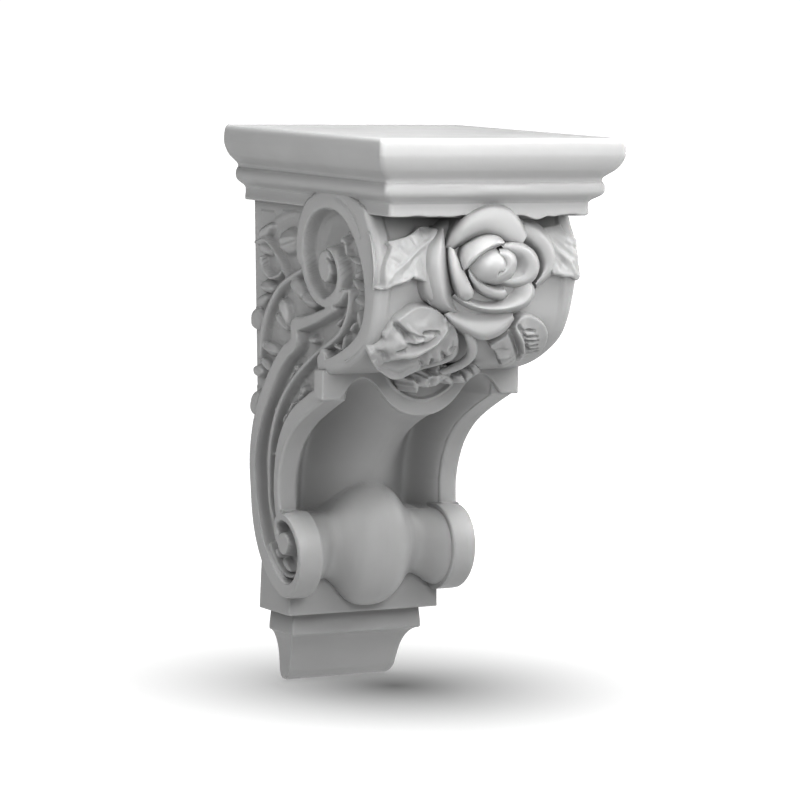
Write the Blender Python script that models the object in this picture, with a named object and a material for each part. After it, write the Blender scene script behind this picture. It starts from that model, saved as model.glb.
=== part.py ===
# Cast polyurethane corbel, a wall bracket in one solid piece: a moulded cap, a rose with leaves
# on a rolled front, scrolled cheeks, a scooped underside with a turned baluster, and a drop.
#
# The wall is the plane Y = 0 and the corbel stands out towards -Y. X runs across, Z is up, and
# the origin is the middle of the back face. Every place below is given by three lengths in
# millimetres: across (from the middle), out (from the wall) and down (from the cap's top).
# spot() turns them into metres.

import math

import bmesh
import bpy
from mathutils import Vector

MM = 0.001

# Overall sizes
HEIGHT = 305.0
CAP_REACH = 97.5            # the cap stands this much further out than it does sideways
CAP_CORNER = 2.5            # soft vertical corners of the cap

# Half width of the cap at each depth below its top: lip, ovolo, groove, bead and fillet
CAP_PROFILE = ((0.0, 71.6), (1.6, 72.8), (6.5, 73.6), (11.5, 72.9), (15.0, 71.1), (18.0, 68.2),
               (21.3, 64.9), (22.8, 64.9), (26.5, 66.0), (29.5, 64.8), (32.6, 60.9),
               (33.8, 60.0), (38.9, 60.2), (40.0, 59.4))

# Cheeks: the carved bands stand on a sunk field, and both taper downwards
FACE_AT_70 = 60.5
FACE_TAPER = 0.0366
FIELD_SINK = 6.0
FIELD_ROOT = 1.5            # how deep a band's foot is buried in the field
RIM_INSIDE = 44.5           # inner edge of the cheeks' front rims

# Side outlines as (out, down)
ROLL = ((134.0, 36.0), (139.5, 46.0), (143.5, 52.0), (146.7, 63.0), (147.6, 72.0),
        (145.5, 84.0), (142.0, 96.0), (135.5, 106.5), (122.0, 116.0), (107.0, 122.7),
        (89.0, 127.4))
RIM = ((89.0, 141.0), (75.0, 147.5), (62.0, 154.5), (52.0, 161.5), (43.0, 171.5),
       (38.0, 182.5), (36.0, 193.5), (37.0, 206.5))

# The block under the roll, with its ogee lower edge as (across, down) from corner to middle
BLOCK_OUT = 91.0
BLOCK_BACK = 82.0
BLOCK_CORNER = ((60.2, 118.0), (60.2, 127.5), (58.8, 140.6))
BLOCK_ROOT = ((46.0, 118.0), (46.0, 136.0))
BOW = ((49.0, 140.0), (44.0, 133.5), (36.5, 129.5), (29.0, 132.5), (22.0, 140.5),
       (12.0, 148.0), (0.0, 150.6))

# Lower volutes and the turned baluster between them, on one axis across the corbel
AXIS_OUT = 36.5
AXIS_DOWN = 227.5
DRUM_RADIUS = 24.0
DRUM_INSIDE = 40.4
HOLLOW_FLOOR = 49.5
BALUSTER = ((43.0, 22.0), (39.0, 21.3), (35.0, 19.3), (30.0, 17.8), (25.0, 18.5), (20.5, 21.8),
            (17.0, 25.8), (11.5, 30.6), (0.0, 33.2))

# Base block and the drop below it: (down, half width, out)
BASE = ((236.0, 46.0, 33.0), (262.6, 46.6, 33.5), (263.5, 46.0, 33.0))
DROP = ((262.0, 39.3, 25.6), (275.0, 40.3, 26.4), (276.4, 39.6, 25.6), (278.5, 37.6, 21.6),
        (281.5, 36.0, 18.0), (286.0, 34.6, 15.2), (292.5, 33.8, 12.8), (299.0, 33.4, 10.4),
        (303.0, 32.6, 7.0), (HEIGHT, 31.0, 3.8))

# Rose
ROSE_DOWN = 67.0
ROSE_FOOT = 144.0           # where the petals grow from, just inside the roll
ROSE_REACH = 168.5


def spot(across, out, down):
    """A point in metres from the three lengths in millimetres."""
    return Vector((across, -out, HEIGHT / 2 - down)) * MM


def face_half_width(down):
    """Half width over the carved bands of the cheeks."""
    return FACE_AT_70 - FACE_TAPER * (down - 70.0)


def field_half_width(down):
    """Half width of the sunk field between the bands."""
    return face_half_width(down) - FIELD_SINK


def smooth(points, steps):
    """A Catmull-Rom curve through points of any number of coordinates."""
    ends = [points[0]] + list(points) + [points[-1]]
    curve = []
    for before, start, end, after in zip(ends, ends[1:], ends[2:], ends[3:]):
        for step in range(steps):
            u = step / steps
            curve.append(tuple(
                0.5 * (2 * b + (c - a) * u + (2 * a - 5 * b + 4 * c - d) * u * u
                       + (3 * b - a - 3 * c + d) * u ** 3)
                for a, b, c, d in zip(before, start, end, after)))
    curve.append(tuple(points[-1]))
    return curve


def along(curve, value, key=1):
    """The other coordinate of a (out, down) curve where its key coordinate has this value."""
    other = 1 - key
    for a, b in zip(curve, curve[1:]):
        low, high = sorted((a[key], b[key]))
        if low <= value <= high and high > low:
            return a[other] + (b[other] - a[other]) * (value - a[key]) / (b[key] - a[key])
    return curve[0][other] if value < curve[0][key] else curve[-1][other]


ROLL_CURVE = smooth(ROLL, 2)
RIM_CURVE = smooth(RIM, 2)
BOW_CURVE = smooth(BOW, 3)


def roll_out(down):
    """How far the rolled front stands out at this depth below the cap's top."""
    return along(ROLL_CURVE, down)


def add_object(name, mesh):
    """Puts a mesh in the scene with its faces turned outwards."""
    body = bmesh.new()
    body.from_mesh(mesh)
    bmesh.ops.recalc_face_normals(body, faces=body.faces)
    body.to_mesh(mesh)
    body.free()
    item = bpy.data.objects.new(name, mesh)
    bpy.context.scene.collection.objects.link(item)
    return item


def loft(name, rings):
    """A closed solid through rings of equal count, capped at both ends."""
    body = bmesh.new()
    rows = [[body.verts.new(point) for point in ring] for ring in rings]
    for row, following in zip(rows, rows[1:]):
        for i in range(len(row)):
            j = (i + 1) % len(row)
            body.faces.new((row[i], row[j], following[j], following[i]))
    body.faces.new(rows[0])
    body.faces.new(rows[-1])
    mesh = bpy.data.meshes.new(name)
    body.to_mesh(mesh)
    body.free()
    return add_object(name, mesh)


def turned(name, profile, out, down, steps):
    """A profile of (across, radius) spun about an axis that runs across the corbel."""
    body = bmesh.new()
    line = [body.verts.new(spot(across, out + radius, down)) for across, radius in profile]
    edges = [body.edges.new(pair) for pair in zip(line, line[1:])]
    bmesh.ops.spin(body, geom=line + edges, cent=spot(0.0, out, down), axis=(1.0, 0.0, 0.0),
                   angle=2 * math.pi, steps=steps, use_merge=True)
    bmesh.ops.remove_doubles(body, verts=body.verts, dist=0.00001)
    bmesh.ops.holes_fill(body, edges=body.edges, sides=0)
    mesh = bpy.data.meshes.new(name)
    body.to_mesh(mesh)
    body.free()
    return add_object(name, mesh)


def plan_ring(half_width, out, down, corner):
    """A rectangle in plan with its back on the wall and its two front corners rounded."""
    ring = [spot(-half_width, 0.0, down)]
    for side in (-1, 1):
        for step in range(3):
            angle = math.radians(45 * (step if side < 0 else 2 - step))
            ring.append(spot(side * (half_width - corner + corner * math.cos(angle)),
                             out - corner + corner * math.sin(angle), down))
    ring.append(spot(half_width, 0.0, down))
    return ring


def make_cap():
    """The square moulded cap."""
    return loft("cap", [plan_ring(half, half + CAP_REACH, down, CAP_CORNER)
                        for down, half in CAP_PROFILE])


def make_base():
    """The small block behind the lower volutes."""
    return loft("base", [plan_ring(half, out, down, 1.2) for down, half, out in BASE])


def make_drop():
    """The coved drop that ends the corbel below."""
    return loft("drop", [plan_ring(half, out, down, 1.0) for down, half, out in DROP])


def slab(name, outline, width_at, inner=None):
    """A slab with an (out, down) outline, from one cheek to the other or down to inner."""
    ring_a = [spot(width_at(down), out, down) for out, down in outline]
    ring_b = [spot(-width_at(down) if inner is None else inner, out, down)
              for out, down in outline]
    return loft(name, [ring_a, ring_b])


def make_roll():
    """The body under the cap, rolled in front, as wide as the sunk fields."""
    outline = [(0.0, 36.0)] + list(ROLL_CURVE) + [(60.0, 134.0), (0.0, 190.0)]
    return slab("roll", outline, field_half_width)


def make_cheek(side):
    """The lower part of one cheek: its sunk field, with the scoop's rim in front."""
    ring = [(0.0, 130.0), (70.0, 126.0), (89.0, 128.0)] + list(RIM_CURVE)
    ring += [(40.0, 215.0), (40.0, 240.0), (22.0, 241.0), (12.0, 232.0), (0.0, 226.0)]
    return slab("cheek", ring, lambda down: side * field_half_width(down), side * RIM_INSIDE)


def make_block(name, corner, front, back):
    """A layer of the block under the roll, whose lower edge is an ogee arch with a tongue."""
    half = list(corner) + [point for point in BOW_CURVE if point[0] < corner[-1][0]]
    outline = half + [(-across, down) for across, down in reversed(half[:-1])]
    return loft(name, [[spot(across, out, down) for across, down in outline]
                       for out in (front, back)])


def scoop_out(across, down):
    """How far the scoop's hollowed surface stands out from the wall."""
    edge = along(BOW_CURVE, min(abs(across), 49.0), key=0)
    below = max(down - edge, 0.0)
    hollow = 14.0 + 74.0 * math.exp(-below / 17.0)
    ridge = 24.0 * (0.5 + 0.5 * math.cos(math.pi * min(abs(across) / 25.0, 1.0)))
    ridge *= min(below / 20.0, 1.0)
    rise = max(min((abs(across) - 31.0) / 14.0, 1.0), 0.0)
    wall = (along(RIM_CURVE, down) - 4.0 - hollow) * rise * rise
    return min(hollow + ridge + max(wall, 0.0), 88.0)


def make_scoop():
    """The scooped underside between the cheeks, from the block to the base."""
    stations = 13
    rows = 10
    reach = RIM_INSIDE + 1.0
    rings = []
    for row in range(rows + 1):
        ring = []
        for column in range(stations):
            across = reach * (2 * column / (stations - 1) - 1)
            edge = along(BOW_CURVE, min(abs(across), 49.0), key=0)
            down = edge - 6.0 + (240.0 - edge + 6.0) * (row / rows) ** 1.25
            ring.append(spot(across, scoop_out(across, down), down))
        down = 124.0 + (240.0 - 124.0) * row / rows
        ring += [spot(reach, 0.0, down), spot(-reach, 0.0, down)]
        rings.append(ring)
    return loft("scoop", rings)


def make_baluster():
    """The turned baluster between the lower volutes."""
    profile = list(BALUSTER) + [(-across, radius) for across, radius in reversed(BALUSTER[:-1])]
    return turned("baluster", profile, AXIS_OUT, AXIS_DOWN, 16)


def make_drum(side):
    """The body of one lower volute, up to the floor of its hollow."""
    outer = face_half_width(AXIS_DOWN)
    profile = [(side * DRUM_INSIDE, DRUM_RADIUS - 1.0), (side * (DRUM_INSIDE + 1.0), DRUM_RADIUS),
               (side * HOLLOW_FLOOR, DRUM_RADIUS), (side * (outer - 3.0), DRUM_RADIUS),
               (side * (outer - 0.8), DRUM_RADIUS - 0.9), (side * (outer - 0.8), DRUM_RADIUS - 3.0),
               (side * HOLLOW_FLOOR, DRUM_RADIUS - 3.4)]
    return turned("drum", profile, AXIS_OUT, AXIS_DOWN, 22)


def band(name, side, rows, steps, rise=0.0):
    """A raised band on a cheek. Rows are (out, down, half width) along its middle."""
    curve = smooth(rows, steps)
    rings = []
    for i, (out, down, half) in enumerate(curve):
        before = curve[max(i - 1, 0)]
        after = curve[min(i + 1, len(curve) - 1)]
        run = Vector((after[0] - before[0], after[1] - before[1])).normalized()
        left = Vector((-run.y, run.x))
        soft = min(1.4, half * 0.45)
        ring = []
        for offset, sink in ((-half, None), (-half, soft), (-half + soft, 0.0),
                             (half - soft, 0.0), (half, soft), (half, None)):
            here = Vector((out, down)) + left * offset
            top = face_half_width(here.y) + rise
            foot = field_half_width(here.y) - FIELD_ROOT
            ring.append(spot(side * (foot if sink is None else top - sink), here.x, here.y))
        rings.append(ring)
    return loft(name, rings)


def front_band(side):
    """The upper scroll's last turn, from its inner edge to the outline of the roll."""
    inner = smooth(((67.5, 66.0), (69.5, 54.0), (79.0, 44.0), (95.0, 40.0), (110.0, 44.3),
                    (121.0, 54.5), (129.0, 68.0), (132.5, 84.0), (129.5, 97.0), (120.0, 107.5),
                    (105.0, 114.5), (84.0, 120.5)), 2)
    outer = smooth(((62.0, 66.0), (64.0, 51.0), (74.0, 37.5), (95.0, 31.5), (118.0, 34.0),
                    (139.8, 46.0), (147.0, 63.0), (147.2, 80.0), (142.2, 96.0),
                    (134.0, 108.2), (115.0, 119.6), (89.5, 127.6)), 2)
    rings = []
    for (out_a, down_a), (out_b, down_b) in zip(inner, outer):
        span = math.hypot(out_b - out_a, down_b - down_a)
        ring = []
        for share, sink in ((0.0, None), (0.0, 1.4), (1.4 / span, 0.0), (1.0 - 3.2 / span, 0.2),
                            (1.0 - 0.8 / span, 2.0), (1.0, 4.5), (1.0, None)):
            out = out_a + (out_b - out_a) * share
            down = down_a + (down_b - down_a) * share
            top = face_half_width(down) if down > 33.0 else face_half_width(33.0)
            foot = field_half_width(down) - FIELD_ROOT
            ring.append(spot(side * (foot if sink is None else top - sink), out, down))
        rings.append(ring)
    return loft("front_band", rings)


def upper_spiral(side):
    """The inner turns of the upper scroll, a spiral whose radius grows from the eye."""
    centre_out, centre_down = 94.0, 66.0
    radii = ((6.0, 2.0), (10.8, 2.3), (23.8, 2.9), (29.2, 2.8))
    rows = []
    for quarter, (radius, half) in enumerate(smooth(radii, 2)):
        angle = math.radians(90.0 - 45.0 * quarter)
        rows.append((centre_out + radius * math.cos(angle),
                     centre_down - radius * math.sin(angle), half))
    return band("upper_spiral", side, rows, 2)


def eye(side, out, down, radius):
    """The round eye at the heart of a volute."""
    top = face_half_width(down)
    profile = ((HOLLOW_FLOOR - 4.0, radius), (top - 1.6, radius), (top - 0.3, radius - 1.6))
    return turned("eye", [(side * across, size) for across, size in profile], out, down, 12)


def knob(name, side, out, down, length, width, angle, rise):
    """A bud or a small leaf on a cheek: a half-round drop, pointed along its length."""
    turn = math.radians(angle)
    rings = []
    for level, shrink in ((-FIELD_ROOT, 1.0), (0.55 * rise, 0.86), (rise, 0.3)):
        ring = []
        for step in range(5):
            around = math.radians(72 * step)
            u = math.cos(around) * length / 2 * shrink
            v = math.sin(around) * width / 2 * shrink * (1.0 if u < 0 else 0.8)
            here_out = out + u * math.cos(turn) - v * math.sin(turn)
            here_down = down - u * math.sin(turn) - v * math.cos(turn)
            ring.append(spot(side * (field_half_width(here_down) + level), here_out, here_down))
        rings.append(ring)
    return loft(name, rings)


# Bands of a cheek, from the upper scroll down to the lower volute: (out, down, half width)
BACK_SCROLL = ((97.0, 92.0, 2.6), (80.0, 97.5, 3.4), (66.0, 101.5, 3.8), (56.0, 104.0, 4.6),
               (55.0, 113.0, 4.4), (44.0, 120.0, 4.6), (32.0, 131.0, 4.8), (20.0, 146.0, 5.0),
               (11.0, 162.0, 4.6), (6.0, 180.0, 3.8), (6.6, 200.0, 4.0), (11.0, 218.0, 4.6),
               (20.0, 233.0, 5.0), (34.0, 244.5, 5.6), (47.0, 245.0, 4.4), (55.0, 237.0, 3.3),
               (57.5, 227.0, 2.6), (55.0, 216.5, 2.5), (47.0, 211.0, 2.4), (39.0, 213.5, 2.5))
RIM_BAND = ((83.0, 121.0, 4.0), (84.0, 135.0, 4.2), (72.0, 143.5, 5.0), (58.0, 151.0, 5.2),
            (46.5, 160.0, 4.8), (38.5, 171.0, 4.0), (34.3, 183.0, 3.3), (33.0, 195.0, 3.0),
            (35.5, 208.0, 3.0))
MIDDLE_RIB = ((114.0, 81.0, 1.6), (112.0, 92.0, 1.8), (104.0, 103.0, 1.8), (91.0, 110.5, 1.8),
              (77.0, 117.0, 1.8), (64.0, 124.5, 1.8), (50.0, 134.0, 1.8), (38.0, 145.0, 1.9),
              (29.0, 158.0, 2.0), (23.5, 173.0, 2.1), (22.5, 190.0, 2.0), (25.5, 204.0, 1.8),
              (32.0, 214.0, 1.6))
BACK_STEM = ((62.0, 74.0, 2.2), (50.0, 78.5, 2.0), (38.0, 84.0, 2.0), (28.0, 92.0, 2.2),
             (20.0, 102.0, 2.4), (14.5, 113.0, 2.6), (12.0, 124.0, 2.6))

# Buds and small leaves of a cheek: (out, down, length, width, angle, rise)
FOLIAGE = ((47.0, 60.0, 24.0, 13.0, 10.0, 5.6), (23.0, 57.0, 20.0, 8.0, 25.0, 4.6),
           (18.0, 66.0, 17.0, 7.0, -10.0, 4.4), (30.0, 71.0, 18.0, 7.0, -35.0, 4.2),
           (20.0, 80.0, 16.0, 7.0, -30.0, 4.4), (16.0, 92.0, 16.0, 7.0, 20.0, 4.2),
           (62.0, 86.0, 28.0, 14.0, -25.0, 5.6), (41.0, 101.0, 20.0, 8.0, -40.0, 4.8),
           (110.0, 56.0, 10.0, 5.0, -60.0, 4.6), (120.0, 65.0, 12.0, 4.6, -15.0, 4.6),
           (124.0, 74.0, 9.0, 4.4, 20.0, 4.2), (124.0, 86.0, 12.0, 5.0, -30.0, 4.2),
           (117.0, 100.0, 13.0, 5.0, 60.0, 4.0), (106.0, 110.0, 13.0, 5.0, 40.0, 4.0),
           (74.0, 110.5, 9.0, 5.0, 0.0, 4.6), (54.0, 128.0, 10.0, 5.0, 20.0, 4.2),
           (62.0, 138.0, 12.0, 5.0, 30.0, 4.2), (46.0, 149.0, 11.0, 4.4, 45.0, 4.2),
           (24.0, 121.0, 17.0, 7.0, -10.0, 4.6), (12.0, 132.0, 15.0, 7.0, 0.0, 5.2),
           (8.0, 152.0, 12.0, 13.0, 60.0, 5.6), (47.0, 238.0, 11.0, 4.6, -20.0, 3.6))


def cheek_carving(side):
    """Bands, eyes, buds and leaves of one cheek."""
    pieces = [front_band(side), upper_spiral(side)]
    pieces.append(band("back_scroll", side, BACK_SCROLL, 2))
    pieces.append(band("rim_band", side, RIM_BAND, 2))
    pieces.append(band("middle_rib", side, MIDDLE_RIB, 2, rise=-1.2))
    pieces.append(band("back_stem", side, BACK_STEM, 2, rise=-1.6))
    pieces.append(eye(side, 91.0, 69.5, 8.6))
    pieces.append(eye(side, 41.0, 221.5, 7.0))
    for row in FOLIAGE:
        pieces.append(knob("foliage", side, *row))
    return pieces


# Petals of the rose, outermost first:
# (across, down, radius across, radius down, first angle, last angle, rim out, lean, thickness)
PETALS = ((-4.0, 70.0, 33.0, 24.0, 145.0, 235.0, 153.0, 3.0, 5.0),
          (0.0, 72.0, 28.0, 32.0, 220.0, 322.0, 155.0, 5.0, 4.4),
          (8.0, 62.0, 34.0, 20.0, -48.0, 58.0, 155.5, 5.0, 4.6),
          (-5.0, 60.0, 25.0, 25.0, 20.0, 170.0, 160.5, 4.0, 5.2),
          (-3.0, 66.0, 30.0, 28.0, 152.0, 226.0, 157.5, 4.0, 3.4),
          (-4.0, 66.0, 22.0, 20.0, 152.0, 240.0, 161.5, 4.0, 3.8),
          (4.0, 70.0, 22.0, 20.0, 218.0, 352.0, 159.5, 5.0, 3.6),
          (8.0, 64.0, 18.5, 12.0, -62.0, 110.0, 163.5, 4.0, 3.4),
          (-4.0, 63.0, 18.0, 14.5, 45.0, 172.0, 165.0, 3.0, 3.4),
          (-1.0, 66.0, 15.5, 14.5, 188.0, 306.0, 163.0, 4.0, 3.6))


def petal(across, down, wide, tall, first, last, rim, lean, thickness):
    """One petal: a leaning wall that curves round the bud and sinks at both ends."""
    stations = 7
    rings = []
    for step in range(stations + 1):
        share = step / stations
        angle = math.radians(first + (last - first) * share)
        height = math.sin(math.pi * min(max(share, 0.04), 0.96)) ** 0.45
        top = ROSE_FOOT + (rim - ROSE_FOOT) * height
        ring = []
        for inset, out in ((lean + thickness, 0.0), (thickness, top - 1.4),
                           (0.5 * thickness, top), (0.0, top - 1.2), (lean, 0.0)):
            here = down - (tall - inset) * math.sin(angle)
            ring.append(spot(across + (wide - inset) * math.cos(angle),
                             out or min(ROSE_FOOT, roll_out(here) - 4.0), here))
        rings.append(ring)
    return loft("petal", rings)


def dome(name, across, down, wide, tall, foot, top, rings=4, sides=14):
    """A low rounded mound on the rolled front."""
    levels = []
    for step in range(rings):
        angle = math.radians(80.0 * step / (rings - 1))
        levels.append([spot(across + wide * math.cos(angle) * math.cos(around),
                            foot + (top - foot) * math.sin(angle),
                            down + tall * math.cos(angle) * math.sin(around))
                       for around in (2 * math.pi * side / sides for side in range(sides))])
    return loft(name, levels)


def make_rose():
    """The open rose in the middle of the rolled front."""
    pieces = [petal(*row) for row in PETALS]
    pieces.append(dome("rose_heart", 0.0, ROSE_DOWN, 33.0, 31.0, 128.0, 156.0))
    pieces.append(dome("rose_bud", -1.0, 64.5, 12.0, 9.2, 152.0, ROSE_REACH, rings=5, sides=10))
    return pieces


# Leaves round the rose: (base across, base down, tip across, tip down, width, rise)
LEAVES = ((-25.0, 50.0, -57.0, 72.0, 30.0, 5.0), (34.0, 44.0, 58.0, 74.0, 24.0, 4.5),
          (-20.0, 93.0, -50.0, 112.0, 30.0, 8.0), (-30.0, 99.0, -34.0, 121.0, 34.0, 6.0),
          (-4.0, 104.0, -22.0, 127.0, 12.0, 5.0), (-8.0, 116.0, -1.0, 127.0, 14.0, 4.0),
          (20.0, 94.0, 34.0, 119.0, 30.0, 6.0))


def leaf(base_across, base_down, tip_across, tip_down, width, rise):
    """A leaf laid on the rolled front, with a sunk middle rib and waved edges."""
    run = Vector((tip_across - base_across, tip_down - base_down))
    left = Vector((run.y, -run.x)).normalized()
    stations = 7
    rings = []
    for step in range(stations + 1):
        share = step / stations
        half = width / 2 * max(math.sin(math.pi * (0.12 + 0.84 * share)) ** 0.7, 0.12)
        half *= 1.06 if step % 2 else 0.94
        ring = []
        for side, lift, foot in ((-1.0, 0.0, True), (-1.0, 0.55, False), (-0.45, 1.0, False),
                                 (0.0, 0.6, False), (0.45, 1.0, False), (1.0, 0.55, False),
                                 (1.0, 0.0, True)):
            here = Vector((base_across, base_down)) + run * share + left * (half * side)
            ground = roll_out(min(here.y, 119.0))
            ring.append(spot(here.x, ground - 6.0 if foot else ground + rise * lift, here.y))
        rings.append(ring)
    return loft("leaf", rings)


def plaster_white():
    """White satin surface of the cast polyurethane."""
    material = bpy.data.materials.new("white_polyurethane")
    material.use_nodes = True
    shader = material.node_tree.nodes["Principled BSDF"]
    shader.inputs["Base Color"].default_value = (0.80, 0.80, 0.80, 1.0)
    shader.inputs["Roughness"].default_value = 0.45
    shader.inputs["Metallic"].default_value = 0.0
    return material


def cast(name, pieces, material):
    """Joins the pieces into one closed solid."""
    mould = bpy.data.collections.new("mould")
    for piece in pieces[1:]:
        mould.objects.link(piece)
    solid = pieces[0]
    join = solid.modifiers.new("join", "BOOLEAN")
    join.operation = "UNION"
    join.solver = "EXACT"
    join.operand_type = "COLLECTION"
    join.collection = mould
    join.use_self = True
    viewed = solid.evaluated_get(bpy.context.evaluated_depsgraph_get())
    mesh = bpy.data.meshes.new_from_object(viewed)
    for piece in pieces:
        bpy.data.objects.remove(piece)
    bpy.data.collections.remove(mould)
    mesh.name = name
    result = bpy.data.objects.new(name, mesh)
    bpy.context.scene.collection.objects.link(result)
    mesh.materials.clear()
    mesh.materials.append(material)
    mesh.shade_smooth()
    mesh.set_sharp_from_angle(angle=math.radians(35.0))
    return result


def main():
    for item in list(bpy.data.objects):
        bpy.data.objects.remove(item)
    pieces = [make_roll(), make_cap(), make_base(), make_drop(), make_scoop(), make_baluster()]
    pieces.append(make_block("block", BLOCK_CORNER, BLOCK_OUT, BLOCK_BACK))
    pieces.append(make_block("block_root", BLOCK_ROOT, BLOCK_BACK + 2.0, 40.0))
    for side in (-1, 1):
        pieces.append(make_cheek(side))
        pieces.append(make_drum(side))
        pieces += cheek_carving(side)
    pieces += make_rose()
    pieces += [leaf(*row) for row in LEAVES]
    cast("corbel", pieces, plaster_white())


main()
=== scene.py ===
import math

import bmesh
import bpy
import numpy as np
from mathutils import Matrix, Vector


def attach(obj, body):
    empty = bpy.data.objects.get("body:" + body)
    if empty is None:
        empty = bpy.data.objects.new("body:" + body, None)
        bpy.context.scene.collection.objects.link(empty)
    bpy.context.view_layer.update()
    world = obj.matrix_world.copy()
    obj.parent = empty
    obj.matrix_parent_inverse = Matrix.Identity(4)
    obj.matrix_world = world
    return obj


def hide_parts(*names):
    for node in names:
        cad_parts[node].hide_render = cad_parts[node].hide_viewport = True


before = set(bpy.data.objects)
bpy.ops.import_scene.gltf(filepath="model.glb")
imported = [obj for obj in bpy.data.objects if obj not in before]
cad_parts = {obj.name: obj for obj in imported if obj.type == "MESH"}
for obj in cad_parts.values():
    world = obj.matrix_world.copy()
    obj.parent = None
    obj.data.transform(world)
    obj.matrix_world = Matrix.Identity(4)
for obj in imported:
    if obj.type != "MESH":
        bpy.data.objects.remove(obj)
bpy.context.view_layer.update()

# Cast polyurethane corbel. Lengths are in millimetres: across from the middle, out from the
# wall, down from the cap's top. place() turns them into metres in the frame's own axes.

mm = 0.001
height = 305.0                                   # of the whole corbel
weld = 0.00001                                   # metres: closer points are made one
pieces = []


def place(points):
    # x is across, y is minus out, and z counts up from the middle of the height
    points = np.asarray(points, float)
    return np.stack([points[..., 0], -points[..., 1], height / 2 - points[..., 2]], -1) * mm


def toPlaces(across, out, down):
    # Points from three arrays, each stretched to the shape that they share
    return np.stack(np.broadcast_arrays(across, out, down), -1)


def flow(rows, count):
    # Smooth path through rows: each value blends its four nearest rows by the Catmull-Rom cubic
    rows = np.asarray(rows, float)
    spots = np.linspace(0, len(rows) - 1, count)
    low = np.minimum(spots.astype(int), len(rows) - 2)
    u = (spots - low).reshape((-1,) + (1,) * (rows.ndim - 1))
    a, b = rows[np.maximum(low - 1, 0)], rows[low]
    c, d = rows[low + 1], rows[np.minimum(low + 2, len(rows) - 1)]
    return 0.5 * (2 * b + (c - a) * u + (2 * a - 5 * b + 4 * c - d) * u ** 2
                  + (3 * b - a - 3 * c + d) * u ** 3)


def ease(value, low, high):
    # Rises from 0 at low to 1 at high along the cubic 3t2 - 2t3
    t = np.clip((value - low) / (high - low), 0, 1)
    return t * t * (3 - 2 * t)


def softMax(a, b, reach):
    # The larger of two heights, with a fillet where they are within reach of each other
    near = np.maximum(1 - np.abs(a - b) / reach, 0)
    return np.maximum(a, b) + reach * near * near / 4


def swell(value, middle, half):
    # A cosine hump of height 1 round the middle, 0 beyond half
    t = np.clip((value - middle) / half, -1, 1)
    return 0.5 + 0.5 * np.cos(np.pi * t)


def roundEdge(gap, radius):
    # A quarter circle: how much lower the surface is this close to its edge
    near = np.clip(1 - gap / radius, 0, 1)
    return radius * (1 - np.sqrt(np.clip(1 - near * near, 0, 1)))


def crowding(count):
    # Shares from 1 to 0 that crowd towards an edge as a quarter circle needs: 1 minus the sine
    return 1 - np.sin(np.linspace(0, math.pi / 2, count)[1:])


def nearest(u, v, path):
    # For each point the distance to the nearest stretch of the path, which side of it the point
    # is on, the path's other values there, and how far along the path that is
    best = np.full(u.shape, 1e9)
    side = np.ones(u.shape)
    values = np.zeros(u.shape + (path.shape[1] - 2,))
    share = np.zeros(u.shape)
    for i in range(len(path) - 1):
        start, run = path[i], path[i + 1] - path[i]
        size = run[0] ** 2 + run[1] ** 2
        if size < 1e-12:                         # two points in one place
            continue
        t = np.clip(((u - start[0]) * run[0] + (v - start[1]) * run[1]) / size, 0, 1)
        du, dv = u - start[0] - run[0] * t, v - start[1] - run[1] * t
        gap = du * du + dv * dv
        closer = gap < best
        best = np.where(closer, gap, best)
        side = np.where(closer, np.sign(run[0] * dv - run[1] * du), side)
        share = np.where(closer, (i + t) / (len(path) - 1), share)
        values = np.where(closer[..., None], start[2:] + run[2:] * t[..., None], values)
    return np.sqrt(best), side, values, share


def closedPiece(name, grid, crease=None):
    # A grid of points becomes a closed mesh: each row is a ring, rows are joined to the next,
    # and a flat face closes each end. Edges sharper than crease, in degrees, stay sharp.
    rows, columns = grid.shape[:2]
    index = np.arange(rows * columns).reshape(rows, columns)
    turned = np.roll(index, -1, 1)
    quads = np.stack([index[:-1], turned[:-1], turned[1:], index[1:]], -1).reshape(-1, 4)
    ends = [index[0][::-1].tolist(), index[-1].tolist()]
    mesh = bpy.data.meshes.new(name)
    mesh.from_pydata(place(grid.reshape(-1, 3)).tolist(), [], quads.tolist() + ends)
    work = bmesh.new()
    work.from_mesh(mesh)
    bmesh.ops.remove_doubles(work, verts=work.verts, dist=weld)
    bmesh.ops.dissolve_degenerate(work, edges=work.edges, dist=weld / 2)
    bmesh.ops.recalc_face_normals(work, faces=work.faces)
    for face in work.faces:
        face.smooth = True
        if len(face.verts) > 8:                  # an end: its rim is a hard edge
            for edge in face.edges:
                edge.smooth = False
    work.to_mesh(mesh)
    work.free()
    if crease:
        mesh.set_sharp_from_angle(angle=math.radians(crease))
    piece = bpy.data.objects.new(name, mesh)
    bpy.context.scene.collection.objects.link(piece)
    pieces.append(piece)
    print("made", name, len(mesh.polygons), "faces")


# Side outlines as (out, down), the cheeks' taper, and the panel on the roll's front

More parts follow.
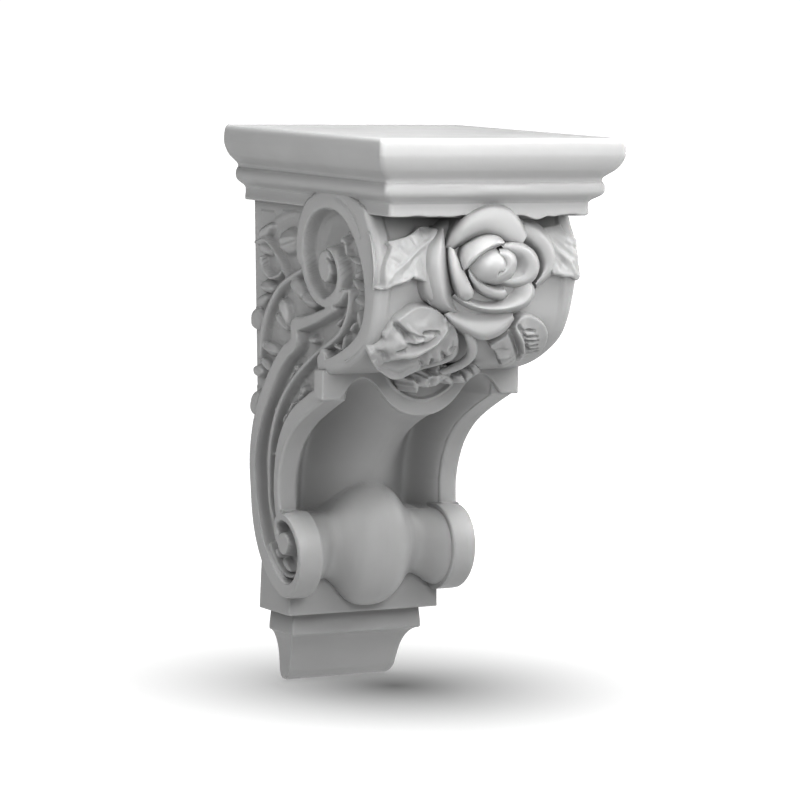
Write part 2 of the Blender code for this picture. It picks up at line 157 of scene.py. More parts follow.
body = {
    "roll": ((134.0, 36.0), (139.5, 46.0), (143.5, 52.0), (146.7, 63.0), (147.6, 72.0),
             (145.5, 84.0), (142.0, 96.0), (135.5, 106.5), (122.0, 116.0), (107.0, 122.7),
             (89.0, 127.4)),
    "rim": ((88.5, 141.0), (75.0, 147.5), (62.0, 154.5), (52.0, 161.5), (43.0, 171.5),
            (38.0, 182.5), (36.0, 193.5), (37.0, 206.0)),
    "hiddenOut": 134.0, "hiddenDown": (30.5, 31.6, 32.7, 33.8, 34.9),      # rows inside the cap
    "edgeFrom": (134.0, 20.0), "edgeTo": (88.0, 127.5),  # the roll's edge runs on to these
    "faceAt70": 60.5, "taper": 0.0366,                   # half width over the bands
    "tuck": 0.3,                                         # how far hidden backs stand off the wall
    "hiddenAbove": 40.4,                                 # the roll's back is inside the cap here
    "sink": 7.4, "carved": 1.23, "thinnest": 46.3,       # the field below the bands, its relief
    "corner": 4.0, "rimCorner": 1.7,                     # soft edges of the roll and of the rims
    "panelSink": 1.9, "panelLeast": 0.12,                # the front panel's depth, and the share
    "panelFade": (80, 98),                               # of it that is left below this stretch
    "strip": 53.0, "stripEdge": 2.2,                     # the panel lies inside two strips
    "axisOut": 36.5, "axisDown": 229.6, "drum": 24.0, "drumInside": 40.4, "rimInside": 44.5,
}


def faceHalf(down):
    # Half width over the bands: it tapers evenly with the depth
    return body["faceAt70"] - body["taper"] * (down - 70.0)


rollPath = flow(body["roll"], 260)
rollRun = np.concatenate([[0], np.cumsum(np.hypot(*np.diff(rollPath, axis=0).T))])
rollTangent = np.gradient(rollPath, axis=0)
rollTangent /= np.linalg.norm(rollTangent, axis=1)[:, None]


def rollOut(down):
    # How far the rolled front stands out at this depth
    return np.interp(down, rollPath[:, 1], rollPath[:, 0])


def onRoll(net):
    # (across, distance along the roll, lift) to a place: the roll's point plus lift along its normal
    across, run, lift = net[..., 0], net[..., 1], net[..., 2]
    out, down = (np.interp(run, rollRun, rollPath[:, k]) for k in (0, 1))
    runOut, runDown = (np.interp(run, rollRun, rollTangent[:, k]) for k in (0, 1))
    return toPlaces(across, out + runDown * lift, down - runOut * lift)


# Carving of a cheek. Ribbons are rows of (out, down, half width) with a rise over the field,
# a soft shoulder and a crown; sprigs are (out, down, length, width, angle, rise, veins).

cheek = {
    "ribbons": (
        {"rows": ((64.7, 66, 2.9), (66.7, 52.5, 3.3), (76.5, 40.8, 3.9), (95, 35.8, 4.3),
                  (114, 39.2, 6.2), (130.4, 50.2, 9.5), (138, 65.5, 9.2), (139.8, 82, 7.8),
                  (135.8, 96.5, 6.6), (127, 107.8, 6.2), (110, 117, 5.6), (86.8, 124, 4.4)),
         "rise": 6.0, "soft": 1.4, "crown": 0.25, "wide": 3.0},
        {"rows": ((93, 60.3, 1.3), (99, 62.3, 1.8), (103.6, 68, 2.0), (105.2, 75, 2.2),
                  (103, 82, 3.0), (96, 87.6, 3.3), (87, 89.2, 3.0), (77, 85.6, 2.8),
                  (69.3, 77, 2.8), (65, 66, 2.9)),
         "rise": 6.0, "soft": 1.3, "crown": 0.3},
        {"rows": ((92, 88.4, 2.8), (101, 86, 4.0), (108, 83.2, 2.8), (112.5, 81, 1.2)),
         "rise": 5.9, "soft": 1.2, "crown": 0.0},
        {"rows": ((97, 92, 2.6), (80, 97.5, 3.4), (66, 101.5, 3.8), (56, 104, 4.6),
                  (55, 113, 4.4), (44, 120, 4.6), (32, 131, 4.8), (20, 146, 5), (11, 162, 4.6),
                  (6, 180, 3.8), (6.8, 197, 4.0), (8.6, 211, 4.4), (12.5, 223, 4.8),
                  (19, 233.5, 5.2), (28, 242.5, 5.4), (38, 248, 5.0), (48, 247, 4.2),
                  (55, 240, 3.2), (57.8, 231.5, 2.6), (57.2, 223.5, 2.4), (53.5, 216.4, 2.4),
                  (47.6, 211.2, 2.4), (40.5, 208.9, 2.6), (34.5, 210, 2.7), (31.6, 214.2, 2.7),
                  (32.8, 219.4, 3.0), (37, 223, 3.6)),
         "rise": 6.0, "soft": 1.5, "crown": 0.3},
        {"rows": ((84.5, 120, 4.2), (85.5, 135, 4.6), (72.5, 143.3, 5.4), (58.6, 150.8, 5.6),
                  (47, 160, 5.2), (38.8, 171, 4.4), (34.6, 183, 3.6), (33.2, 195, 3.3),
                  (34.6, 207, 3.3)),
         "rise": 6.0, "soft": 1.2, "crown": 0.2, "wide": 2.5},
        {"rows": ((114, 81, 1.7), (112, 92, 1.9), (104, 103, 1.9), (91, 110.5, 1.9),
                  (77, 117, 1.9), (64, 124.5, 1.9), (50, 134, 1.9), (38, 145, 2.0),
                  (29, 158, 2.1), (23.5, 173, 2.2), (22.3, 190, 2.1), (23.0, 203, 2.0),
                  (26.2, 211, 1.8), (30, 216, 1.5)),
         "rise": 4.9, "soft": 1.3, "crown": 0.8},
        {"rows": ((62, 74, 2.0), (50, 78.5, 2.1), (38, 84, 2.1), (28, 92, 2.3), (20, 102, 2.5),
                  (14.5, 113, 2.7), (12, 124, 2.6)),
         "rise": 4.6, "soft": 1.4, "crown": 0.9},
        {"rows": ((9.5, 63, 1.6), (19.5, 61, 1.5), (29.5, 66, 1.4), (37.5, 73.5, 1.3),
                  (44, 79, 1.2)),
         "rise": 4.4, "soft": 1.1, "crown": 0.7},
        {"rows": ((14, 71, 1.5), (16.5, 77, 1.6), (24, 80.8, 1.5), (33, 79.5, 1.3), (39, 76, 1.1)),
         "rise": 4.2, "soft": 1.1, "crown": 0.7},
        {"rows": ((13, 58, 1.6), (24, 51, 1.6), (36, 47, 1.4), (46, 45, 1.2)),
         "rise": 0.35, "soft": 2.0, "crown": 0.1},
        {"rows": ((20, 226, 1.4), (24, 232, 1.7), (29, 236.8, 1.8), (36, 240.4, 1.7),
                  (45, 240.6, 1.4), (51, 237, 1.1)),
         "rise": 3.6, "soft": 1.4, "crown": 0.4},
        {"rows": ((24, 176, 1.0), (31, 176.5, 1.0)), "rise": 3.0, "soft": 1.0, "crown": 0.2},
        {"rows": ((23, 196, 1.1), (31, 198, 1.1)), "rise": 3.0, "soft": 1.0, "crown": 0.2},
        {"rows": ((27, 207, 1.0), (34, 205, 1.0)), "rise": 3.0, "soft": 1.0, "crown": 0.2},
    ),
    "grooves": (
        {"rows": ((104, 33, 1.0), (114, 36.8, 1.2), (123, 43.5, 1.3), (129, 51.5, 1.1)),
         "depth": 0.5},
        {"rows": ((93.5, 66, 0.7), (97.3, 69, 1.1), (98.2, 73, 1.2), (96.5, 77, 0.8)),
         "depth": 5.0},
    ),
    "sprigs": (
        (47, 60, 27, 14, 6, 5.6, 3), (18, 56.5, 17, 7.5, 25, 4.6, 1), (18, 66, 17, 7, -10, 4.0, 1),
        (20, 86.5, 17, 7, -5, 4.6, 2), (14, 94, 15, 7, 20, 4.4, 1),
        (56, 85, 19, 10, -28, 5.4, 2), (69, 90, 18, 9, -12, 5.4, 2),
        (40, 99, 19, 9, -52, 5.0, 2), (36, 104, 18, 6, -25, 4.6, 1),
        (106.5, 55.5, 6, 5, 0, 4.6, 0), (109, 60, 9, 3.4, -70, 4.2, 0),
        (119.5, 65.5, 13, 4.2, -12, 4.4, 0), (121, 72.5, 6, 4.6, 10, 4.4, 0),
        (119, 78, 12, 3.4, -35, 4.0, 0), (122, 86.5, 12, 4, -18, 4.0, 0),
        (121.5, 96, 12, 4.4, -70, 4.0, 0), (114, 100, 9, 3.6, 40, 3.8, 0),
        (104.5, 109.5, 11, 4, 75, 3.8, 0), (98, 112, 11, 3.6, -12, 3.8, 0),
        (100, 98.5, 10, 3.6, 30, 3.6, 0), (71, 110.5, 9, 5, 0, 4.4, 0),
        (54, 127.5, 9, 4.6, -10, 4.2, 0), (47, 132, 8, 4, 50, 3.8, 0),
        (60, 138.5, 7, 6, 0, 4.2, 0), (56, 142, 9, 4, 20, 3.6, 0), (46, 149, 10, 4.4, 45, 4.0, 0),
        (30, 151, 8, 4.4, 30, 3.8, 0), (38, 156, 8, 4, 60, 3.6, 0),
        (24, 120, 20, 7, -8, 4.8, 2), (18, 129, 16, 6, -20, 4.4, 1), (9, 133, 13, 7, 0, 5.0, 1),
        (5, 105, 12, 17, 90, 3.4, 1), (5, 151, 15, 13, 75, 5.2, 1),
        (38, 235.4, 12, 4.6, -32, 4.4, 1), (29, 230, 7, 3.8, -45, 4.2, 0),
    ),
    "eyes": ((90.6, 69.8, 7.6, 9.6), (40.4, 223.2, 7.0, 6.9)),    # out, down, and two radii
    "bowls": ((95, 64.0, 28, 26.5, 2.6), (49, 229, 9, 13, 1.0)),  # out, down, radii, depth
    "eyeRise": 6.3, "eyeCrown": 0.5, "eyeEdge": (0.84, 1.06), "bowlEdge": (0.7, 1.05),
    "pointed": 0.22, "furrow": 0.14, "slant": 0.2,                # of the sprigs
    "slope": (113, 9, 72, 26, 1.2),         # between scroll and band: out, down with halves, rise
    "fillets": {"sprig": 0.9, "ribbon": 0.6, "eye": 0.5},
}


def sprig(out, down, row):
    # A half-round drop, pointed along its length, with shallow furrows along it
    midOut, midDown, length, width, angle, rise, veins = row
    turn = math.radians(angle)
    along = ((out - midOut) * math.cos(turn) - (down - midDown) * math.sin(turn)) / (length / 2)
    over = ((out - midOut) * math.sin(turn) + (down - midDown) * math.cos(turn)) / (width / 2)
    taper = np.sqrt(np.clip(1 - along ** 2, 0, 1)) * (1 - cheek["pointed"] * along)
    over = over / np.maximum(taper, 0.05)
    dome = np.sqrt(np.clip(1 - over ** 2, 0, 1)) * np.sqrt(np.clip(1 - along ** 4, 0, 1))
    furrow = 0.0
    if veins:
        phase = 2 * np.pi * veins * 0.5 * (over + 1 + cheek["slant"] * along)
        furrow = cheek["furrow"] * (0.5 - 0.5 * np.cos(phase))
    return np.where(np.abs(along) < 1, rise * dome * (1 - furrow * dome), -9.0)   # or far below


def cheekRelief(out, down):
    # Height over the sunk field: hollows first, then each ribbon, sprig and eye by soft maximum
    relief = np.zeros(out.shape)
    fillets = cheek["fillets"]
    for midOut, midDown, wide, tall, depth in cheek["bowls"]:
        reach = np.hypot((out - midOut) / wide, (down - midDown) / tall)
        relief -= depth * (1 - ease(reach, *cheek["bowlEdge"]))
    midOut, halfOut, midDown, halfDown, rise = cheek["slope"]
    relief += rise * (swell(out, midOut, halfOut) * swell(down, midDown, halfDown))
    for row in cheek["sprigs"]:
        reach = row[2] / 2 + 2
        box = (np.abs(out - row[0]) < reach) & (np.abs(down - row[1]) < reach)
        relief[box] = softMax(relief[box], sprig(out[box], down[box], row), fillets["sprig"])
    for ribbon in cheek["ribbons"]:
        path = flow(ribbon["rows"], 9 * len(ribbon["rows"]))
        wide, soft = ribbon.get("wide", 0), ribbon["soft"]
        margin = path[:, 2].max() + wide + 3
        box = ((out > path[:, 0].min() - margin) & (out < path[:, 0].max() + margin)
               & (down > path[:, 1].min() - margin) & (down < path[:, 1].max() + margin))
        gap, side, values = nearest(out[box], down[box], path)[:3]
        half = values[:, 0] + np.where(side < 0, wide, 0)
        inside = half - gap
        crown = ribbon["crown"] * (gap / half) ** 2
        level = ribbon["rise"] * ease(inside, -0.5 * soft, 0.7 * soft) - crown
        merged = softMax(relief[box], level, fillets["ribbon"])
        relief[box] = np.where(inside > -2, merged, relief[box])
    for midOut, midDown, wide, tall in cheek["eyes"]:
        reach = np.hypot((out - midOut) / wide, (down - midDown) / tall)
        button = cheek["eyeRise"] * (1 - ease(reach, *cheek["eyeEdge"]))
        relief = softMax(relief, button - cheek["eyeCrown"] * reach ** 2, fillets["eye"])
    for groove in cheek["grooves"]:
        path = flow(groove["rows"], 8 * len(groove["rows"]))
        box = (np.abs(out - path[:, 0].mean()) < 30) & (np.abs(down - path[:, 1].mean()) < 36)
        gap, values = nearest(out[box], down[box], path)[::2]
        relief[box] -= groove["depth"] * swell(gap, 0, 1.6 * values[:, 0])
    return relief


def sideFace(out, down, outline, radius):
    # Half width of the carved cheek: the field, its relief, and the soft front edge
    relief = cheekRelief(out, down) * body["carved"]
    top = np.maximum(faceHalf(down) - body["sink"] + relief, body["thinnest"])
    return np.minimum(top, faceHalf(down) - roundEdge(nearest(out, down, outline)[0], radius))


def makeRoll():
    # Upper body: one ring for each row down the roll, from the right cheek round the front to the
    # left one and along the wall. The front's panel is sunk inside the strips and fades downwards.
    along = np.linspace(0, rollRun[-1], 168)
    hidden = body["hiddenDown"]
    out = np.concatenate([[body["hiddenOut"]] * len(hidden),
                          np.interp(along, rollRun, rollPath[:, 0])])[:, None]
    down = np.concatenate([hidden, np.interp(along, rollRun, rollPath[:, 1])])[:, None]
    corner = body["corner"]
    back = np.where(down < body["hiddenAbove"], body["tuck"], 0.0)
    columns = np.concatenate([back + (out - corner - back) * np.linspace(0, 1, 196),
                              out - corner * crowding(10)], 1)
    outline = np.concatenate([[body["edgeFrom"]], rollPath, [body["edgeTo"]]])
    half = sideFace(columns, np.repeat(down, columns.shape[1], 1), outline, corner)
    right = toPlaces(half, columns, down)
    across = np.linspace(1, -1, 121)[1:-1] * half[:, -1:]
    inside = 1 - ease(np.abs(across), body["strip"] - body["stripEdge"], body["strip"])
    fade = 1 - ease(down, *body["panelFade"])
    least = body["panelLeast"]
    front = toPlaces(across, out - body["panelSink"] * inside * (least + (1 - least) * fade), down)
    wall = toPlaces(half[:, :1] * np.linspace(-1, 1, 14)[1:-1], back, down)
    left = right[:, ::-1] * (-1, 1, 1)
    closedPiece("rolledBody", np.concatenate([right, front, left, wall], 1))


makeRoll()


# Lower cheeks: two slabs below the roll, each with a concave rim and a drum at its foot

slab = {
    "top": 127.4, "edgeTop": 120.0,                           # upper ends of slab and rounded edge
    "shoulder": 141.0, "shoulderOut": 88.5,                   # straight above this, by the block
    "heel": ((0.0, 221.0), (5.0, 229.5), (12.5, 238.5), (21.0, 246.0), (29.0, 251.2)),
    "lip": 1.5,                                               # round edge on the inside of the rim
    "split": ((127.4, 74), (150, 60), (170, 40), (185, 28)),  # (down, out) where spacing changes
    "cornerMost": 0.45, "lipMost": 0.4, "splitMost": 0.8,     # as shares of the slab's depth
}


def makeCheek(side):
    # Rings round the slab: from the wall over the carved side, the rim, its lip and its inside.
    # Below the rim the front follows the drum's circle, and the back follows the heel's curve.
    drum, axisOut, axisDown = body["drum"], body["axisOut"], body["axisDown"]
    shoulder, shoulderOut, lip = slab["shoulder"], slab["shoulderOut"], slab["lip"]
    rim = flow(body["rim"], 120)
    drumTop = axisDown - drum
    turn = np.radians(np.linspace(86, -90, 90))
    circle = np.stack([axisOut + drum * np.cos(turn), axisDown - drum * np.sin(turn)], -1)
    heel = flow(slab["heel"] + ((axisOut, axisDown + drum),), 60)
    arcDown = axisDown - drum * np.cos(np.radians(np.linspace(1.5, 179.5, 132)))
    down = np.concatenate([np.linspace(slab["top"], shoulder - 0.4, 22),
                           np.linspace(shoulder + 0.3, drumTop - 0.05, 96), arcDown])[:, None]
    front = np.where(down < shoulder, shoulderOut, np.interp(down, rim[:, 1], rim[:, 0]))
    disc = axisOut + np.sqrt(np.clip(drum ** 2 - (down - axisDown) ** 2, 0, None))
    onDrum = np.where(down < drumTop + 1.5, np.maximum(front, disc), disc)
    front = np.where(down > drumTop, onDrum, front)
    heelTop = slab["heel"][0][1]
    back = np.where(down > heelTop, np.interp(down, heel[:, 1], heel[:, 0]), 0.0)
    short = np.minimum(body["rimCorner"], (front - back) * slab["cornerMost"])
    split = np.interp(down, *zip(*slab["split"]))
    split = np.minimum(split, back + slab["splitMost"] * (front - back))
    columns = np.concatenate([back + (split - back) * np.linspace(0, 1, 122),
                              split + (front - short - split) * np.linspace(0, 1, 48)[1:],
                              front - short * crowding(8)], 1)
    above = [[shoulderOut, slab["edgeTop"]], [shoulderOut, shoulder]]
    outline = np.concatenate([above, rim, circle, heel[::-1]])
    half = sideFace(columns, np.repeat(down, columns.shape[1], 1), outline, body["rimCorner"])
    inner = np.where(down > drumTop + 0.5, body["drumInside"], body["rimInside"])
    bend = np.linspace(0, math.pi / 2, 7)[1:]
    tuck = np.minimum(lip, (front - back) * slab["lipMost"])
    ring = np.concatenate([
        toPlaces(half, columns, down),
        toPlaces(half[:, -1:] + (inner + lip - half[:, -1:]) * np.linspace(0, 1, 9)[1:], front,
                 down),
        toPlaces(inner + lip - lip * np.sin(bend), front - tuck * (1 - np.cos(bend)), down),
        toPlaces(inner, front - tuck + (back - front + tuck) * np.linspace(0, 1, 12)[1:], down),
        toPlaces(inner + (half[:, :1] - inner) * np.linspace(0, 1, 8)[1:-1], back, down)], 1)
    closedPiece("cheekRight" if side > 0 else "cheekLeft", ring * (side, 1, 1))


makeCheek(-1)
makeCheek(1)


# Block under the roll, with its ogee lower edge and a thin raised arc on the tongue

block = {
    "bow": ((60.2, 140.5), (56, 140.4), (51.5, 140.2), (49, 139.7), (44, 133.5), (40.5, 130.7),
            (36.5, 129.4), (32.5, 130.4), (29, 132.6), (25.5, 136.2), (22, 140.5), (17.5, 144.8),
            (12, 148.2), (6, 150.1), (0, 150.6)),
    "top": 124.5, "out": 91.0, "back": 82.0, "half": 60.2,
    "round": 0.9, "endRound": 1.0,                          # radii of its lower edge and its ends
    "arc": ((-22, 128), (-18, 133.7), (-12, 138.2), (-6, 140.9), (0, 141.8), (6, 140.9),
            (12, 138.2), (18, 133.7), (22, 128)),
    "arcRise": 0.9, "arcHalf": 1.5, "arcFrom": (127, 131),  # its height, half width and upper end
    "dish": 0.5, "dishFrom": (124, 130), "dishHalf": 21, "dishDeep": 22,      # the field inside it
}
bowPath = flow(block["bow"], 160)[::-1]


def bowEdge(across):
    # Depth of the block's lower edge
    return np.interp(np.abs(across), bowPath[:, 0], bowPath[:, 1])


def makeBlock():
    # At each station across, one ring: down the front, round its lower edge and up the back.
    # The arc is a cosine hump along its line, and the end stations turn in by a quarter circle.
    radius, endRadius = block["round"], block["endRound"]
    across = np.linspace(-1, 1, 171) * (block["half"] - endRadius) * np.ones((58, 1))
    share = np.linspace(0, 1, 58)[:, None]
    down = block["top"] + (bowEdge(across) - radius - block["top"]) * share
    gap, side = nearest(across, down, flow(block["arc"], 90))[:2]
    ridge = block["arcRise"] * swell(gap, 0, block["arcHalf"]) * ease(down, *block["arcFrom"])
    dish = (block["dish"] * ease(-side * gap, 0.2, 2.0) * (gap < block["dishDeep"])
            * (np.abs(across) < block["dishHalf"]))
    out = block["out"] + ridge - dish * ease(down, *block["dishFrom"])
    front = toPlaces(across, out, down)
    under = [front[-1:] + np.array((0, radius * math.cos(t) - radius, radius * math.sin(t)))
             for t in np.radians((25, 50, 75, 90))]
    back = toPlaces(across, block["back"], down)[::-6]
    ring = np.concatenate([front] + under + [back], 0).transpose(1, 0, 2)
    deep = np.where(ring[0, :, 1:2] > block["back"] + 0.1, endRadius, 0.0)    # the front alone rounds
    ends = [[ring[end] + np.array((sign * endRadius * math.sin(t), 0, 0))
             + deep * np.array((0, math.cos(t) - 1, 0)) for t in np.radians((30, 60, 90))]
            for sign, end in ((-1, 0), (1, -1))]
    closedPiece("block", np.concatenate([ends[0][::-1], ring, ends[1]]), 50)


makeBlock()


# Baluster: a profile of (across, radius) turned about its own axis, a little flat in front.
# Its arms bend to the volutes' axis.

baluster = {
    "profile": ((43, 22.3), (41.5, 21.8), (38, 20.6), (33, 18.8), (26.8, 17.8), (23.2, 19.1),
                (20, 21.9), (16.5, 26.0), (12, 30.4), (6.5, 33.2), (0, 34.0)),
    "flat": 0.24, "axisOut": 34.0, "axisDown": 226.5, "armFrom": (27, 41),
}
balusterHalf = flow(baluster["profile"], 70)


def balusterAt(across):
    # Radius, how round it is towards the front, and the axis as (out, down)
    radius = np.interp(np.abs(across), balusterHalf[::-1, 0], balusterHalf[::-1, 1])
    arm = ease(np.abs(across), *baluster["armFrom"])
    axis = [baluster[key] + (body[key] - baluster[key]) * arm for key in ("axisOut", "axisDown")]
    return radius, 1 - baluster["flat"] * (1 - arm), axis[0], axis[1]


def makeBaluster():
    # Each ring is a circle of the profile's radius round the axis, flattened in its out direction
    line = np.concatenate([balusterHalf[:, 0], -balusterHalf[::-1, 0][1:]])[:, None]
    radius, turned, axisOut, axisDown = balusterAt(line)
    turn = np.linspace(0, 2 * math.pi, 145)[:-1]
    out = axisOut + radius * turned * np.cos(turn)
    closedPiece("baluster", toPlaces(line, out, axisDown - radius * np.sin(turn)))


makeBaluster()


# Scoop: the hollowed underside between the rims, with a fillet to the baluster

scoop = {
    "floor": 14.0, "reach": 74.0, "drop": 17.0, "most": 90.2,     # the hollow's curve in depth
    "ridge": 19.0, "ridgeHalf": 40.0, "ridgeDrop": 10.0,          # the broad column in its middle
    "rise": (30.0, 46.0), "underRim": 1.1,                        # where it rises to the rims
    "fillet": 11.0, "underBaluster": 1.2,
    "half": 46.0, "top": 124.0, "topOut": 86.0, "overlap": 0.4, "foot": 243.0, "backHalf": 44.4,
}


def scoopOut(across, down):
    # How far out the wall is: it falls away from the block exponentially with the depth below it.
    # A cosine column stands in the middle, and the sides rise to the rims.
    below = np.maximum(down - bowEdge(across), 0)
    hollow = scoop["floor"] + scoop["reach"] * np.exp(-below / scoop["drop"])
    column = swell(across, 0, scoop["ridgeHalf"])
    hollow = hollow + scoop["ridge"] * column * (1 - np.exp(-below / scoop["ridgeDrop"]))
    rim = np.interp(down, *np.transpose(body["rim"])[::-1])
    rise = ease(np.abs(across), *scoop["rise"])
    wall = np.minimum(hollow + np.maximum(rim - scoop["underRim"] - hollow, 0) * rise, scoop["most"])
    radius, turned, axisOut, axisDown = balusterAt(across)
    lift = np.sqrt(np.clip(radius ** 2 - (down - axisDown) ** 2, 0, None)) * turned
    front = np.where(lift > 0, axisOut + lift - scoop["underBaluster"], 0.0)
    return softMax(wall, front, scoop["fillet"])


def makeScoop():
    # Rows run down from the block's edge, closer together at the top, and rings close at the wall
    top, foot, backHalf = scoop["top"], scoop["foot"], scoop["backHalf"]
    across = np.linspace(-scoop["half"], scoop["half"], 132) * np.ones((150, 1))
    edge = bowEdge(across)
    down = edge - scoop["overlap"] + (foot - edge) * np.linspace(0, 1, 150)[:, None] ** 1.7
    front = toPlaces(across, scoopOut(across, down), down)
    lead = front[:3] * (1, 0, 0) + (0, scoop["topOut"], 0)     # behind the block, up to a flat top
    lead[..., 2] = top + (down[0] - top) * np.array((0, 0.5, 1))[:, None]
    front = np.concatenate([lead, front])
    rows = np.linspace(top, foot, len(front))[:, None]
    back = toPlaces(np.linspace(backHalf, -backHalf, 12), body["tuck"], rows)
    closedPiece("scoop", np.concatenate([front, back], 1))


makeScoop()


# Square mouldings: a profile of (down, half width, out) carried round three sides of a plan. The
# cap's profile is (down, half width).

cap = {                                           # its front stands out by half width and reach
    "profile": ((0, 71.2), (0.5, 72.0), (1.8, 72.9), (4.0, 73.4), (6.8, 73.6), (9.2, 73.5),
                (11.8, 72.7), (14.2, 71.5), (16.5, 69.8), (18.6, 67.4), (20.2, 65.6),
                (21.4, 64.9), (22.6, 64.8), (22.9, 65.0), (24.2, 65.8), (26.3, 66.1),
                (28.2, 65.8), (29.6, 64.9), (30.9, 63.2), (32.3, 61.1), (33.4, 60.2),
                (33.9, 59.9), (36.5, 59.9), (38.6, 60.1), (39.7, 60.1), (40.2, 59.6),
                (40.3, 58.5)),
    "reach": 97.5, "corner": 2.5, "crease": 60,
    "counts": (60, 130, 3),                       # points along a side and the front, row steps
    "frontFrom": (150, 155),                      # the front's own unevenness fades in here
    "bead": (26.6, 5, 2, 26, 0.9),                # down and across with halves, and its swell
    "hem": (36, 40), "hemHalf": 58,               # the lower edge, where it is uneven
    "waves": ((0.5, 0.21, 1.3), (0.35, 0.47, 0)), "waveShare": 0.5,        # height, pace, start
    "drips": ((2.4, 27, 9), (1.0, 38, 5)), "dripShare": 0.8,               # height, middle, half
}
base = {
    "profile": ((236, 45.6, 32.6), (240, 46, 33), (262.2, 46.6, 33.5), (263.1, 46.4, 33.3),
                (263.5, 45.6, 32.4), (263.5, 40.0, 27.0)),
    "corner": 1.2, "counts": (16, 40, 4), "crease": 50, "hiddenAbove": 0,
}
drop = {
    "profile": ((262, 39.2, 25.5), (265, 39.4, 25.7), (272, 40.2, 26.3), (275, 40.4, 26.5),
                (276.1, 40.2, 26.3), (276.6, 39.6, 25.7), (276.9, 38.9, 24.4), (277.9, 37.9, 22.3),
                (279.4, 37.0, 20.1), (281.5, 36.1, 18.0), (284, 35.3, 16.3), (287, 34.6, 14.8),
                (291, 34.0, 13.3), (295.5, 33.6, 11.8), (299, 33.4, 10.4), (301.3, 33.0, 8.8),
                (303.2, 32.4, 6.8), (304.5, 31.5, 4.9), (304.9, 30.8, 3.6), (305, 29.5, 2.8)),
    "corner": 1.0, "counts": (14, 40, 3), "crease": 60, "hiddenAbove": 263.6,
}


def moulding(rows, corner, sides, fronts, steps):
    # Rings round a plan: straight sides out from the wall, quarter circles of one radius at the
    # corners, a straight front, and the wall
    down, half, out = flow(rows, steps * (len(rows) - 1) + 1).T[..., None]
    bend = np.linspace(0, math.pi / 2, 9)
    side = toPlaces(half, (out - corner) * np.linspace(0, 1, sides), down)
    turn = toPlaces(half - corner + corner * np.cos(bend), out - corner + corner * np.sin(bend), down)
    front = toPlaces((half - corner) * np.linspace(1, -1, fronts)[1:-1], out, down)
    wall = toPlaces(half * np.linspace(-1, 1, 8)[1:-1], 0.0, down)
    right = np.concatenate([side, turn], 1)
    return np.concatenate([right, front, right[:, ::-1] * (-1, 1, 1), wall], 1)


def makeCap():
    # The moulding, with a swell on its bead over the rose and a hem that waves and drips in front
    rows = [(down, half, half + cap["reach"]) for down, half in cap["profile"]]
    across, out, down = np.moveaxis(moulding(rows, cap["corner"], *cap["counts"]), -1, 0)
    front = ease(out, *cap["frontFrom"])
    midDown, halfDown, midAcross, halfAcross, rise = cap["bead"]
    bead = swell(down, midDown, halfDown) * swell(across, midAcross, halfAcross) * front
    wave = sum(tall * np.sin(across * pace + start) for tall, pace, start in cap["waves"])
    drip = sum(tall * swell(across, middle, half) for tall, middle, half in cap["drips"])
    change = cap["waveShare"] * wave + drip * cap["dripShare"]
    sag = ease(down, *cap["hem"]) * front * change * (np.abs(across) < cap["hemHalf"])
    closedPiece("cap", toPlaces(across, out + rise * bead, down + sag), cap["crease"])


def makeFoot(name, shape):
    # The moulding; the part of its back that another piece hides stands off the wall
    grid = moulding(shape["profile"], shape["corner"], *shape["counts"])
    hidden = grid[..., 2] < shape["hiddenAbove"]
    grid[..., 1] = np.where(hidden, np.maximum(grid[..., 1], body["tuck"]), grid[..., 1])
    closedPiece(name, grid, shape["crease"])


makeCap()
makeFoot("baseBlock", base)
makeFoot("drop", drop)


# Rose. Each petal is a net of rails (outer edge first) and stations as (across, down, out), made
# smooth both ways; its two edge rails go on down as walls to the ground it grows from.

